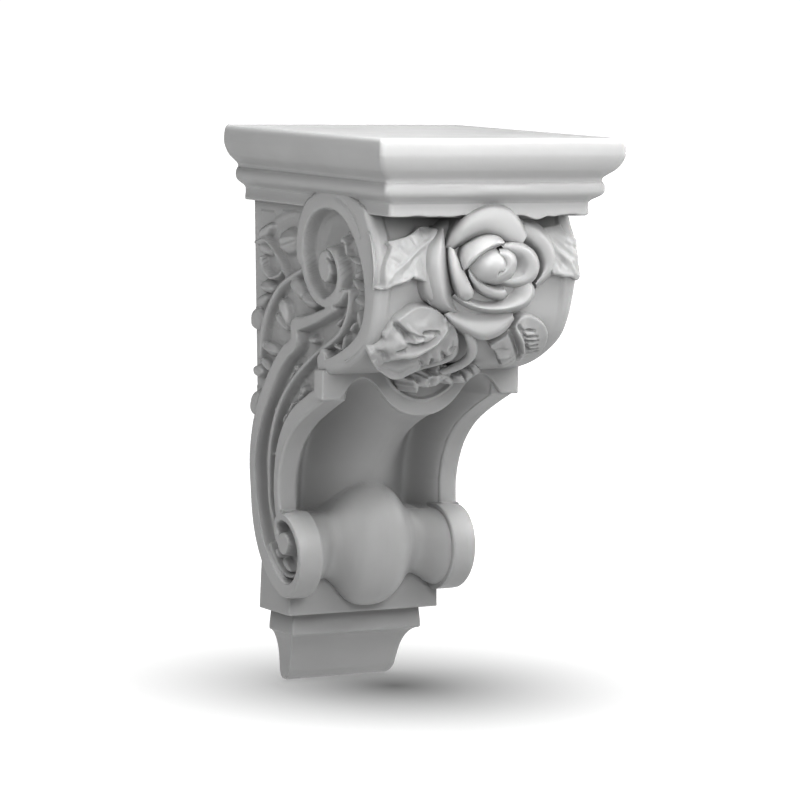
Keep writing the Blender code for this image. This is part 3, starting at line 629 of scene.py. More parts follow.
petalEdge = {
    "lip": 0.5, "over": ((0.35, 0.12), (0.75, 0.5), (1.0, 1.1)),      # share of the lip, and sink
    "wall": (0.35, 0.7, 1.0), "shortest": 0.3,                        # shares of the way down
    "deepest": 142.0, "underRoll": 4.0,                               # the ground
    "stations": 84, "rails": 40,
}
petals = {
    "petalTop": (
        ((-22.8, 57.2, 148), (-19.8, 47, 149), (-12.5, 38.4, 152), (0, 33.8, 153), (11, 34.2, 153),
         (20.5, 39.5, 152), (26.6, 49.4, 149)),
        ((-24.2, 56.8, 152), (-21.8, 48.4, 155), (-15.6, 40.4, 158.5), (-4.8, 35.6, 160),
         (5.6, 36.2, 160), (14.4, 41.4, 159), (23.2, 50.6, 155)),
        ((-23.3, 56.8, 154), (-20.8, 50.2, 158), (-15.6, 44.2, 161.2), (-6.9, 40.6, 162.4),
         (2.2, 41.6, 162.4), (10.8, 46.6, 161), (20.6, 53.4, 157)),
        ((-22, 58, 154), (-18.6, 53, 158), (-13, 48.4, 160.5), (-6, 46, 161.5), (1.6, 47.4, 161.5),
         (9.4, 51.6, 160), (19.4, 56, 156)),
        ((-19.8, 58.6, 151), (-15.6, 55, 155), (-10.2, 51.6, 157), (-4.2, 49.8, 158),
         (3.2, 51.2, 158), (10.2, 54.8, 156), (18.6, 57.6, 153))),
    "petalRight": (
        ((17, 38.8, 147), (31.4, 43.6, 148), (40.2, 50.2, 148), (44.7, 57.2, 148),
         (46.7, 65.2, 148), (43.2, 72.2, 148), (34.2, 78.7, 148)),
        ((15, 41.4, 150), (27.9, 46.7, 153), (35, 52.1, 153.5), (39.8, 58.2, 153),
         (41.6, 64.7, 152.5), (39.3, 70.8, 152), (32.4, 76.9, 151)),
        ((14.6, 47, 150), (25.9, 52.4, 153), (31.8, 56.7, 153), (35.1, 60.7, 152.5),
         (36.8, 65.8, 152), (35.3, 70.8, 152), (31.4, 75.9, 151)),
        ((16.6, 52.3, 146), (27.5, 57, 147), (32.2, 60.3, 147), (34.2, 63.3, 147),
         (35.2, 67.3, 147), (34.7, 71.8, 147), (32.7, 75.3, 147))),
    "petalRing": (
        ((5, 54.8, 157), (12, 53.3, 157), (20.5, 54.7, 156), (28.1, 59, 155), (32.2, 66.1, 154),
         (30.2, 72.6, 154), (24.7, 76.6, 154), (15.1, 77.2, 155), (4.5, 75.4, 156)),
        ((3.9, 54.9, 160.5), (10.7, 54.3, 161), (17.9, 55.9, 160.5), (24.5, 60, 159.5),
         (27.8, 66.1, 158.5), (26.4, 71.1, 158), (21.4, 74.4, 158), (12.6, 75.3, 158.5),
         (3.5, 73.8, 159.5)),
        ((4.9, 56.3, 161.5), (10.6, 56.7, 162), (16.7, 58.8, 161), (20.7, 61.9, 160),
         (22.8, 66, 159), (22.1, 69.6, 158.5), (18.6, 72.1, 158.5), (11.8, 73.2, 159),
         (4.2, 72.1, 160)),
        ((6.9, 57.9, 160), (12, 59.4, 160), (17, 61.6, 158.5), (19.4, 64.4, 157.5),
         (20.4, 67.2, 157), (19.6, 69.8, 157), (16.9, 71.4, 157.5), (11.8, 72.2, 158),
         (5.4, 71.2, 159)),
        ((8.6, 59.4, 157), (12.6, 61.2, 156), (15.6, 63.4, 155), (16.8, 65.6, 154.5),
         (17, 67.6, 154.5), (16, 69.2, 155), (13.8, 70.2, 156), (10, 70.8, 157), (6.4, 70.2, 158))),
    "petalCup": (
        ((27.4, 73.9, 151), (31.1, 77.9, 151), (30.6, 83.4, 151), (26.4, 87.9, 151),
         (17.4, 90.7, 151), (7.4, 91.4, 151), (-2.6, 90.2, 151), (-12.2, 86.8, 152),
         (-19.7, 81.7, 153)),
        ((25.2, 74.1, 154), (26.8, 77.9, 156), (25.8, 82.3, 157), (21.7, 86, 157.5),
         (12.9, 88.4, 158), (3.4, 89.1, 158), (-6.6, 87.8, 158), (-14.5, 84.8, 157),
         (-19.9, 80.5, 155)),
        ((23.4, 74.5, 155), (24.5, 78.4, 156.6), (23.5, 81.3, 157.6), (19.7, 84.2, 158),
         (11.9, 86.4, 158.3), (3.4, 87.1, 158.3), (-6.6, 86.1, 158.3), (-13.5, 83.3, 157.2),
         (-18.4, 79.5, 155)),
        ((20.4, 75, 154), (20.6, 77.6, 154.5), (19.4, 79.9, 154.6), (16.4, 81.9, 154.4),
         (10.4, 83.6, 154), (3.4, 84.2, 153.8), (-4.6, 83.6, 153.8), (-10.6, 81.4, 154),
         (-14.8, 78.2, 153.6)),
        ((15.4, 75.6, 152), (15.8, 77.2, 151.6), (14.8, 78.4, 151), (12.4, 79.4, 150.6),
         (8.6, 80, 150.4), (3.2, 80.2, 150.4), (-2.4, 79.6, 150.6), (-7.2, 78, 151),
         (-10.6, 75.8, 151.4))),
    "petalBottom": (
        ((-21.3, 91.3, 147), (-16.3, 96.2, 148), (-9.3, 100.7, 148), (-2.8, 103.7, 148),
         (4.2, 105, 148), (10.7, 103.7, 148), (16.2, 100.6, 148), (21.8, 95.2, 147)),
        ((-22, 91, 150), (-18.2, 94.8, 152), (-11.7, 98.7, 153), (-6, 101.3, 153.5),
         (1, 102.6, 153.5), (7, 101.3, 153.5), (13.1, 98.4, 152.5), (20, 93.9, 150)),
        ((-20.6, 90, 151), (-17.2, 92.8, 153), (-11.8, 95.7, 154), (-6.1, 97.5, 154.5),
         (0.4, 98.2, 154.5), (6.4, 97.4, 154.5), (12, 95.6, 153.5), (18.4, 92.3, 151)),
        ((-18.4, 88.6, 150), (-13.4, 89.2, 150.4), (-7.9, 89.8, 150.8), (-2.4, 90.2, 151),
         (3.6, 90.4, 151), (9.1, 90.2, 150.8), (14.1, 90, 150.4), (19.2, 90.2, 149)),
        ((-16.3, 86.4, 149), (-11.3, 84.6, 149.4), (-6.3, 84.2, 149.8), (-1.3, 84.2, 150),
         (4.7, 84.2, 150), (9.7, 84.4, 149.8), (14.7, 85.4, 149.4), (19.3, 87.6, 148))),
    "petalFarLeft": (
        ((-30.3, 52.3, 147), (-34.3, 60.3, 147), (-35.8, 68.3, 147), (-35.8, 76.3, 147),
         (-32.3, 83.3, 147), (-25.3, 87.3, 147), (-18.3, 90.3, 147)),
        ((-30, 53, 150), (-33.9, 59.8, 151.5), (-35.2, 67.8, 152), (-35.2, 74.8, 152),
         (-32.2, 81.3, 152), (-25.6, 85.9, 151), (-18.4, 89.1, 149)),
        ((-27.6, 53.9, 151), (-30.5, 59.6, 153.5), (-31.6, 67.5, 154.5), (-31.1, 74.5, 154.5),
         (-28.3, 80.1, 154), (-23.2, 84.3, 152), (-17.4, 87.1, 149)),
        ((-24.4, 55.1, 149), (-24.4, 60.1, 149), (-24.4, 68.1, 149), (-23.9, 74.1, 149),
         (-21.9, 79.1, 149), (-18.3, 82.7, 148), (-15.3, 85.3, 147))),
    "petalFoldOne": (
        ((-25, 46, 146), (-32.6, 54.4, 148), (-35.6, 62.8, 148.5), (-35.4, 70.7, 149),
         (-33.4, 78.8, 149), (-28.6, 86.5, 148.5), (-18.4, 91.4, 147.5)),
        ((-24.6, 46.4, 149), (-31, 54, 153.5), (-33.9, 62.2, 155.5), (-33.6, 70.1, 156),
         (-31.6, 78.2, 155.5), (-26.8, 85.7, 153.5), (-17.2, 90.3, 150.5)),
        ((-24.2, 46.8, 150), (-28.8, 54.2, 156), (-31.2, 62.2, 158.5), (-30.8, 70.1, 159),
         (-29, 78.2, 158.5), (-24.8, 85.2, 156), (-16, 89.6, 151.5)),
        ((-23.8, 47.4, 150), (-26.2, 55, 155), (-27.8, 62.8, 157.5), (-27.4, 70.4, 158),
         (-25.9, 78.2, 157.5), (-22.6, 84.8, 155), (-15.4, 89, 151)),
        ((-23, 48.2, 148), (-23.3, 56.2, 152), (-22.6, 63.8, 153.5), (-21.8, 71.8, 154),
         (-20.6, 78.8, 153.5), (-18.4, 84.9, 152), (-13.6, 88.6, 149))),
    "petalFoldTwo": (
        ((-22.8, 55.8, 152), (-23.6, 60.7, 153), (-23.2, 66, 153.5), (-22, 71.6, 154),
         (-20.2, 77, 154.5), (-17.3, 82, 155), (-12.8, 84.9, 155)),
        ((-23.7, 55.8, 155.5), (-24.8, 60.5, 158), (-24.7, 65.6, 159.5), (-23.6, 70.9, 160.5),
         (-21.5, 76.2, 161), (-18.6, 80.7, 160.6), (-14.2, 83.6, 158.4)),
        ((-21.9, 56.8, 157), (-22.2, 60.8, 160), (-21.6, 65.4, 161.6), (-20.2, 70.2, 162.6),
         (-18.1, 75, 163), (-15.6, 79.2, 162.6), (-12.6, 82.2, 160)),
        ((-19.9, 58, 156), (-19.2, 62, 158.5), (-17.6, 66.4, 160), (-15.9, 70.6, 161),
         (-13.8, 74.8, 161.4), (-11.6, 78.6, 161), (-10.4, 81.6, 158.6)),
        ((-18, 58.7, 153), (-16.9, 62.5, 154.5), (-15.2, 66.5, 155), (-13.5, 70.4, 155.5),
         (-11.6, 74.4, 156), (-9.6, 78.2, 156), (-9.4, 81.2, 155))),
    "petalUpperLeft": (
        ((-17.8, 61.1, 154), (-16.5, 55.9, 156), (-12, 52.6, 157), (-6.6, 50.1, 158),
         (-0.9, 49.3, 158.5), (3.8, 50.3, 159), (7.5, 53.5, 159.5)),
        ((-19.1, 61.1, 158), (-18.1, 56.4, 160.5), (-14.2, 53.3, 162), (-9.3, 51, 163),
         (-3.8, 50.4, 163.5), (1.2, 51.4, 163.3), (6.2, 53.5, 161.5)),
        ((-19.6, 63.4, 160.5), (-18.8, 60.1, 163), (-16.2, 57.2, 165), (-12, 54.7, 166.5),
         (-6.8, 53, 167), (-1.4, 52.5, 166.3), (5.4, 53.7, 162.6)),
        ((-18.7, 67.2, 162), (-18.3, 65.4, 164.8), (-15.7, 61.7, 166.8), (-11.9, 58.4, 168),
         (-7.1, 55.7, 168.3), (-1.8, 54.1, 167), (5.2, 54.1, 162.6)),
        ((-15.6, 68.1, 158), (-14.3, 66.8, 159.5), (-11.3, 63.6, 161), (-7.4, 60.5, 162),
         (-3.2, 57.7, 162.5), (0.9, 56, 162.5), (5.6, 54.8, 160.5))),
    "petalLowerLeft": (
        ((-13.8, 67.8, 157), (-12.8, 72.3, 156.5), (-9, 77.2, 156), (-3.2, 80.9, 155.5),
         (3.6, 83.3, 155), (9.1, 83.8, 155), (12.9, 81.5, 155)),
        ((-15.1, 67.2, 160.5), (-14.1, 71.3, 161), (-10.8, 75.5, 161), (-5.6, 79.1, 160.5),
         (0.9, 81.2, 160), (6.3, 81.8, 159.5), (10.1, 80.4, 158.5)),
        ((-13.8, 67.3, 161), (-12.3, 70.5, 161.8), (-8.9, 73.7, 162), (-4.1, 76.4, 161.5),
         (1.2, 78, 161), (5.4, 78.7, 160.5), (8.8, 78.5, 159)),
        ((-11.1, 68.1, 158), (-8.6, 70.9, 158), (-5.1, 73.1, 158), (-0.8, 75.2, 157.5),
         (4, 76.6, 157), (7.7, 77.1, 156.5), (9.5, 77.4, 156))),
    "petalCurl": (
        ((3.2, 56.4, 160), (8.7, 56.9, 160), (13.5, 60, 159.5), (15.3, 65, 159), (13.3, 70.5, 159),
         (8.3, 74, 159), (1.5, 75.3, 159.5), (-4.8, 73.9, 160)),
        ((1.5, 56.8, 163.5), (5.8, 57.6, 164.5), (9.1, 60.4, 165), (10.3, 64.4, 165),
         (8.6, 68.9, 164.5), (4.4, 72.1, 164), (-1, 73.4, 163.5), (-5.7, 72.7, 162.5)),
        ((0.7, 57.8, 165.5), (3.8, 58.8, 166.8), (6.2, 61.1, 167.3), (6.8, 64.3, 167.3),
         (5.3, 67.7, 166.8), (2.3, 70.3, 166), (-1.9, 71.6, 165), (-5.5, 71.4, 163.5)),
        ((0.2, 59.2, 166), (2.6, 60.2, 166.8), (4.4, 62.2, 167), (4.8, 64.7, 166.9),
         (3.7, 67, 166.4), (1.3, 69, 165.8), (-2.1, 70.1, 164.8), (-5.2, 70.1, 163.4)),
        ((0.2, 60.4, 165), (2, 61.3, 165.4), (3.2, 62.9, 165.6), (3.4, 64.8, 165.5),
         (2.5, 66.4, 165.2), (0.5, 67.9, 164.8), (-2.2, 68.8, 164), (-4.8, 69, 162.8))),
}


def wallsDown(grid):
    # Each edge rolls over by a small lip and runs down to the ground
    lip, sunk = petalEdge["lip"], petalEdge["over"][-1][1]
    walls = []
    for edge, inner in ((grid[:, 0], grid[:, 2]), (grid[:, -1], grid[:, -3])):
        away = (edge - inner) * (1, 0, 1)
        away /= np.maximum(np.linalg.norm(away, axis=1), petalEdge["shortest"])[:, None]
        foot = np.minimum(petalEdge["deepest"], rollOut(edge[:, 2]) - petalEdge["underRoll"])
        rows = [edge + away * lip * reach - np.array((0, 1, 0)) * sink
                for reach, sink in petalEdge["over"]]
        for share in petalEdge["wall"]:
            low = edge + away * lip * (1 - share)
            low[:, 1] = (edge[:, 1] - sunk) * (1 - share) + foot * share
            rows.append(low)
        walls.append(np.stack(rows, 1))
    return np.concatenate([walls[0][:, ::-1], grid, walls[1]], 1)


def makePetal(name, net):
    # Catmull-Rom along the stations, then across the rails
    net = np.asarray(net, float)[..., [0, 2, 1]].transpose(1, 0, 2)
    grid = flow(net, petalEdge["stations"]).transpose(1, 0, 2)
    closedPiece(name, wallsDown(flow(grid, petalEdge["rails"]).transpose(1, 0, 2)))


for petalName, petalNet in petals.items():
    makePetal(petalName, petalNet)


# The rose's heart, and the bud in it with its dimple as (across, down, half, depth)

domes = {
    "roseHeart": {"across": -0.5, "down": 68.5, "wide": 33.5, "tall": 30.5, "foot": 138.0,
                  "top": 156.2, "dimple": (0, 0, 1, 0)},
    "roseBud": {"across": -3.2, "down": 65.0, "wide": 12.6, "tall": 10.6, "foot": 150.0,
                "top": 169.2, "dimple": (0.9, 69.6, 2.3, 6.0)},
}


def makeDome(name, shape):
    # Close to half an ellipsoid: rings shrink by the cosine while they rise by the sine to 0.8
    rise = np.linspace(0, math.pi / 2, 40)[:, None]
    turn = np.linspace(0, 2 * math.pi, 97)[:-1]
    across = shape["across"] + shape["wide"] * np.cos(rise) * np.cos(turn)
    down = shape["down"] + shape["tall"] * np.cos(rise) * np.sin(turn)
    out = shape["foot"] + (shape["top"] - shape["foot"]) * np.sin(rise) ** 0.8
    midAcross, midDown, half, depth = shape["dimple"]
    reach = np.hypot(across - midAcross, down - midDown)
    closedPiece(name, toPlaces(across, out - depth * swell(reach, 0, half), down))


for domeName, dome in domes.items():
    makeDome(domeName, dome)


# Leaves are heights over an outline. On the roll a point is (across, distance along the roll) and
# its height stands on the roll's normal; in front of the block it is (across, down) and the
# height is the distance out from the wall. Anchors give the broad form, and strokes raise or
# lower it along a path: (points, half width, change).

leaves = {
    "leafRuffled": {"bold": 1.55,
        "outline": ((-48.5, 59.8), (-44.8, 56.9), (-38.4, 53.0), (-28.7, 53.9), (-20.2, 58.6),
                    (-14.9, 62.2), (-9.5, 69.6), (-7.8, 74.1), (-9.5, 78.3), (-12.0, 80.8),
                    (-13.7, 84.7), (-17.5, 88.4), (-20.8, 91.3), (-23.5, 95.1), (-26.0, 99.2),
                    (-30.0, 102.3), (-42.4, 95.7), (-50.5, 89.4), (-57.8, 80.4), (-55.2, 76.8),
                    (-52.1, 72.1), (-53.1, 69.0), (-50.7, 64.2)),
        "anchors": ((-34.7, 57.9, 5), (-20.7, 60.6, 5), (-27.8, 62.2, 6.2), (-34.2, 64.5, 7.2),
                    (-45.2, 60.6, 5.2), (-47.8, 64.8, 3.8), (-41.5, 68.6, 4.6), (-51.5, 70.7, 3.8),
                    (-46.6, 73.9, 7.4), (-42.9, 71.3, 8), (-35.3, 69.3, 8.4), (-27.4, 67.8, 8.4),
                    (-33.9, 77.4, 8), (-19.9, 65.3, 7.5), (-35.3, 87.4, 4.6), (-27.6, 84.0, 5.0),
                    (-33.4, 96.8, 6.5), (-45.5, 93.2, 5), (-53.0, 83.9, 4.5), (-51.4, 78.0, 4.6),
                    (-14.2, 74.1, 7), (-19.2, 79.1, 7), (-10.3, 71.2, 5), (-21.4, 86.9, 6.2)),
        "strokes": (
            (((-45.9, 83.6), (-42.8, 78.6), (-34.7, 76.3), (-28.8, 73.4), (-23.1, 69.1),
              (-20.4, 65.0), (-20.4, 60.3)), 1.5, 1.3),                        # midrib
            (((-41.9, 88.6), (-33.6, 87.6), (-27.6, 83.4), (-22.9, 78.2), (-17.1, 71.6),
              (-15.2, 66.2)), 3.2, -2.8),                                      # hollow below it
            (((-42, 75.2), (-34.5, 73.4), (-28, 70.6), (-24, 67)), 1.3, -1.5),
            (((-39.6, 72.4), (-35.6, 72.2), (-31.4, 71.4)), 1.2, -2.2),
            (((-32.4, 65.9), (-28.6, 65.8), (-24.6, 65.9)), 1.1, -2.0),
            (((-38.6, 66.8), (-35.5, 68.0), (-32.5, 68.4)), 1.1, -1.4),
            (((-44.6, 75.9), (-40.2, 75.4)), 1.0, -1.5),
            (((-49.2, 61.6), (-44.4, 65.4), (-38.4, 69.4)), 1.5, -2.0),       # folded lobe
            (((-43.0, 63.0), (-36.6, 67.4)), 1.5, 0.6),
            (((-52.4, 85.6), (-47.0, 93.0), (-39.0, 96.6), (-32.8, 98.6), (-28.6, 96.6),
              (-22.7, 89.8)), 1.6, 2.0),                                       # curled lower rim
            (((-54.0, 77.5), (-50.0, 79.0), (-47.0, 82.4)), 1.6, -1.2),
            (((-21.2, 91.6), (-24.4, 86.2)), 1.0, -1.3), (((-17.6, 88), (-20.4, 82.4)), 1.0, -1.3),
            (((-12.6, 81.2), (-16.8, 77.6)), 1.0, -1.3), (((-9.2, 75.6), (-13.6, 74.6)), 1.0, -1.2),
            (((-20.0, 86.6), (-22.6, 82.0)), 2.0, 1.0), (((-15.8, 82.8), (-18.6, 78.6)), 2.0, 1.0),
            (((-11.6, 77.6), (-15.0, 75.0)), 1.8, 0.9))},
    "leafLowerRight": {"bold": 1.5,
        "outline": ((21.5, 65.0), (18.2, 69.8), (14.4, 73.6), (12.4, 76.4), (18.4, 81.2),
                    (20.6, 84.6), (24.1, 87.2), (27.8, 94.7), (33.6, 97.8), (44.4, 100.1),
                    (51.6, 100.1), (52.7, 93.4), (51.0, 84.1), (48.5, 74.5), (45.4, 68.6),
                    (40.5, 63.8), (32.6, 60.2), (24.7, 60.0)),
        "anchors": ((22.2, 75.1, 6.2), (31.2, 87.9, 5.6), (18.2, 76.9, 4.8), (38.6, 95.4, 4),
                    (22.6, 65.4, 6), (31.8, 75.9, 6.2), (35.1, 64.1, 2.8), (41.9, 70.4, 2.4),
                    (46.4, 77.5, 1.8), (36.4, 73.8, 3.6), (46.0, 91.8, 1.2), (45.0, 98.7, 1.2),
                    (48.0, 85.5, 1.4), (26.0, 82.0, 7.4), (42.0, 84.0, 2.6)),
        "strokes": (
            (((20.4, 62.8), (25.0, 67.9), (29.8, 72.7), (35.9, 81.6)), 1.5, 1.9),      # midrib
            (((20.2, 66.9), (26.0, 73.0), (32.4, 81.5), (38.4, 91.0)), 1.5, -2.2),
            (((24.6, 64.6), (29.6, 69.4), (34.4, 76.2), (40.2, 84.0)), 1.4, -1.6),
            (((30.4, 68.1), (33.4, 68.3), (37.1, 68.8)), 0.9, -1.3),                   # side veins
            (((32.2, 71.5), (35.8, 71.9), (40.3, 72.6)), 0.9, -1.4),
            (((33.8, 74.7), (37.2, 74.9), (42.2, 75.5)), 0.9, -1.4),
            (((36.4, 78.6), (43.8, 79.6)), 1.0, -1.4), (((38.6, 82.6), (46.2, 83.4)), 1.0, -1.4),
            (((41.4, 87.0), (48.3, 87.4)), 1.2, -1.4),
            (((19.5, 82.6), (24.5, 80.2)), 1.9, 1.3), (((24.4, 89.4), (29.4, 86.2)), 1.9, 1.3),
            (((29.6, 96.0), (34.6, 92.8)), 1.9, 1.1),                                  # lobes
            (((17.0, 79.4), (22.0, 77.4)), 1.0, -0.8), (((22.0, 85.4), (27.0, 83.0)), 1.0, -0.8),
            (((26.8, 92.4), (32.0, 89.6)), 1.0, -0.7))},
    "leafUpperLeft": {"bold": 0.6,
        "outline": ((-25.5, 16.9), (-28.8, 15.7), (-30.9, 14.3), (-33.0, 13.7), (-36.0, 14.6),
                    (-40.0, 17.2), (-44.6, 18.8), (-49.7, 19.9), (-55.2, 21.1), (-53.7, 23.5),
                    (-55.3, 27.0), (-57.1, 30.0), (-58.4, 34.5), (-58.7, 38.6), (-58.5, 42.1),
                    (-61.0, 44.2), (-58.8, 44.7), (-55.8, 44.2), (-52.7, 42.2), (-48.3, 41.2),
                    (-44.6, 40.3), (-42.7, 38.5), (-41.5, 39.3), (-38.7, 39.6), (-33.5, 41.0),
                    (-28.0, 36.2), (-26.6, 29.8), (-24.9, 22.6)),
        "anchors": ((-33.1, 14.7, 4), (-38.3, 18.7, 5.6), (-46.1, 23.5, 5.4), (-50.3, 28.7, 5.0),
                    (-52.6, 22.1, 3.6), (-56.5, 34.5, 4), (-57.1, 42.5, 4.3), (-58.7, 44.5, 3.2),
                    (-53.0, 36.2, 5), (-46.7, 31.9, 5.6), (-40.1, 26.5, 6.2), (-28.6, 19.5, 6.5),
                    (-35.0, 28.9, 5.2), (-39.1, 34.8, 4.8), (-46.5, 36.9, 4.7), (-51.9, 40.0, 5.3),
                    (-44.7, 39.0, 5.6), (-40.3, 38.0, 5.6), (-30.0, 30.0, 5.0)),
        "strokes": (
            (((-28.2, 19.2), (-34.1, 23.0), (-40.1, 26.5), (-46.7, 31.9), (-53.0, 36.2),
              (-57.4, 41.6)), 1.1, 0.9),                                       # midrib
            (((-34.8, 26.2), (-40.0, 29.0), (-44.5, 33.6), (-50.0, 37.8)), 1.3, -0.9),
            (((-33.0, 20.2), (-39.6, 24.0), (-46.0, 29.2), (-51.6, 33.6)), 1.3, -0.7),
            (((-40.0, 23.4), (-42.2, 20.2)), 1.1, -0.8), (((-45.8, 27.9), (-50.2, 24.0)), 1.1, -0.8),
            (((-50.3, 32.4), (-54.8, 29.6)), 1.0, -0.7), (((-35.0, 20.6), (-35.8, 16.4)), 1.0, -0.7),
            (((-38.3, 20.0), (-39.2, 19.0)), 1.8, 0.6), (((-45.9, 25.0), (-47.4, 22.4)), 1.8, 0.7),
            (((-50.6, 29.6), (-52.4, 27.8)), 1.7, 0.6),
            (((-38.4, 28.8), (-36.4, 34.2), (-36.2, 37.6)), 1.2, -0.7),
            (((-43.6, 32.8), (-42.0, 36.6)), 1.1, -0.7), (((-48.9, 37.3), (-48.4, 39.4)), 1.0, -0.6),
            (((-41.2, 31.2), (-39.8, 36.0)), 1.3, 0.5), (((-46.4, 35.0), (-45.6, 38.4)), 1.3, 0.5),
            (((-57.1, 43.3), (-53.1, 41.4), (-48.7, 40.2), (-43.5, 38.0), (-40.1, 38.4)),
             1.1, 0.8))},
    "leafUpperRight": {"bold": 0.7,
        "outline": ((36.6, 16.3), (45.0, 14.8), (50.1, 13.7), (50.8, 15.8), (51.6, 17.7),
                    (54.9, 18.7), (57.3, 19.9), (58.7, 21.9), (58.4, 28.3), (58.6, 34.6),
                    (59.5, 40.1), (57.6, 42.0), (55.3, 40.7), (52.0, 40.0), (48.9, 40.1),
                    (46.1, 39.1), (41.6, 38.0), (39.1, 31.3), (37.3, 24.9), (36.8, 20.0)),
        "anchors": ((42.5, 17.5, 4.6), (48.0, 16.1, 4.4), (49.6, 21.7, 4.9), (55.2, 20.4, 3.4),
                    (57.8, 24.9, 3.0), (53.0, 26.7, 4.0), (48.8, 30.2, 4.9), (52.3, 32.8, 4.5),
                    (47.4, 34.4, 3.4), (55.3, 34.5, 3.4), (57.3, 39.0, 3.4), (48.8, 39.0, 4.4),
                    (57.7, 41.4, 3.2), (43.4, 26.7, 4.6), (43.6, 37.0, 4.6)),
        "strokes": (
            (((41.2, 22.5), (45.2, 27.0), (48.8, 30.2), (52.3, 32.8), (56.8, 38.8)), 1.1, 0.8),
            (((43.2, 28.6), (47.4, 31.8), (50.6, 35.0)), 1.2, -1.0),
            (((43.8, 21.9), (47.6, 25.4), (52.1, 28.8), (56.3, 31.1)), 1.3, -0.8),
            (((50.9, 23.8), (54.5, 24.9), (58.5, 25.9)), 1.1, -0.7),
            (((46.0, 18.0), (50.0, 20.8), (54.0, 23.0)), 1.6, 0.6),
            (((44.6, 37.4), (48.8, 38.8), (54.0, 39.2)), 1.2, 0.6))},
    "leafRibbed": {"front": True,
        "outline": ((8.1, 119.5), (14.5, 120.2), (19.0, 122.5), (19.8, 124.8), (17.2, 126.8),
                    (15.2, 128.3), (12.8, 130.1), (9.4, 131.0), (6.0, 131.3), (3.6, 131.6),
                    (-0.6, 129.4), (-0.5, 126.2), (3.3, 122.3)),
        "anchors": ((10.5, 120.0, 114), (18.0, 124.0, 118), (13.0, 125.5, 119),
                    (7.0, 127.5, 118), (2.0, 128.0, 115.5), (5.0, 124.0, 114), (14, 129, 116),
                    (6, 131, 114.5)),
        "strokes": (
            (((14.2, 120.5), (18.8, 124.8)), 1.6, 1.2), (((12.0, 121.9), (16.0, 127.0)), 0.8, -2.2),
            (((9.9, 122.7), (14.0, 128.2)), 1.7, 1.2), (((7.6, 124.0), (11.8, 129.6)), 0.8, -2.2),
            (((5.2, 124.6), (9.4, 130.2)), 1.7, 1.1), (((3.2, 126.2), (6.6, 131.0)), 0.8, -1.8),
            (((1.0, 126.6), (3.6, 131.0)), 1.5, 0.9))},
    "leafJagged": {"front": True,
        "outline": ((-21.9, 124.8), (-17.3, 122.2), (-9.5, 120.4), (-1.7, 120.4), (2.2, 123.4),
                    (2.5, 126.5), (-1.6, 128.7), (-3.5, 130.6), (-5.4, 131.9), (-10.3, 133.0),
                    (-13.2, 132.6), (-13.5, 134.4), (-14.7, 136.2), (-15.8, 133.3), (-16.8, 132.7),
                    (-17.1, 130.7), (-20.1, 129.1), (-22.5, 127.4)),
        "anchors": ((-19.0, 125.0, 108), (-12.0, 122.5, 113.5), (-4.0, 122.5, 117.5),
                    (0.5, 125.5, 117), (-6.0, 126.5, 118.5), (-12.0, 128.0, 116.5),
                    (-9.0, 131.0, 115), (-14.5, 133.5, 111), (-20.0, 127.0, 108),
                    (-16.0, 129.0, 112)),
        "strokes": (
            (((0.6, 124.6), (-6.7, 126.0), (-12.5, 128.0), (-15.0, 133.4)), 1.2, 1.0),
            (((-21.0, 126.0), (-16.6, 127.4), (-14.0, 129.6)), 1.4, -2.4),
            (((-15.8, 124.4), (-12.4, 126.6)), 1.0, -1.4), (((-9.6, 122.6), (-7.6, 125.4)), 1.0, -1.2),
            (((-3.4, 122.6), (-2.6, 125.2)), 1.0, -1.0), (((-4.6, 130.8), (-3.2, 127.4)), 1.0, -1.3),
            (((-9.4, 132.4), (-8.4, 128.4)), 1.0, -1.2), (((-12.8, 124.6), (-9.6, 127.0)), 1.4, 0.8),
            (((-7.0, 128.0), (-6.4, 131.0)), 1.4, 0.7), (((-1.6, 125.8), (-0.4, 127.6)), 1.4, 0.7))},
}
leafShape = {
    "step": 0.3, "margin": 0.8,                          # of the grid
    "round": 1.3, "roundShare": 0.8,                     # the rim's soft edge
    "wall": (-0.45, 0.15),                               # how steeply it falls to the ground
    "ground": -2.0, "frontGround": 88.0, "under": 1.5,
    "nearAnchor": 0.6, "fall": 3.6,                      # of the spread between anchors
    "strokeWide": 1.5, "strokeEnd": 0.55, "strokeMiddle": 0.45, "strokeHalf": 0.75,
}


def closedFlow(points, steps):
    # The same cubic carried round a closed outline
    ring = np.asarray(points, float)
    ring = np.concatenate([ring[-1:], ring, ring[:2]])
    path = flow(ring, steps * (len(ring) - 1) + 1)
    return path[steps:steps * (len(points) + 1) + 1]


def within(u, v, ring):
    # True inside a closed outline: an odd number of its edges is crossed to one side
    inside = np.zeros(u.shape, bool)
    for (au, av), (bu, bv) in zip(ring[:-1], ring[1:]):
        if av != bv:
            inside ^= ((av > v) != (bv > v)) & (u < (bu - au) * (v - av) / (bv - av) + au)
    return inside


def spread(u, v, anchors):
    # Height between the anchors: each counts by the inverse of its distance to the power fall
    total, weights = np.zeros(u.shape), np.zeros(u.shape)
    for au, av, lift in anchors:
        weight = 1 / (np.hypot(u - au, v - av) + leafShape["nearAnchor"]) ** leafShape["fall"]
        total += weight * lift
        weights += weight
    return total / weights


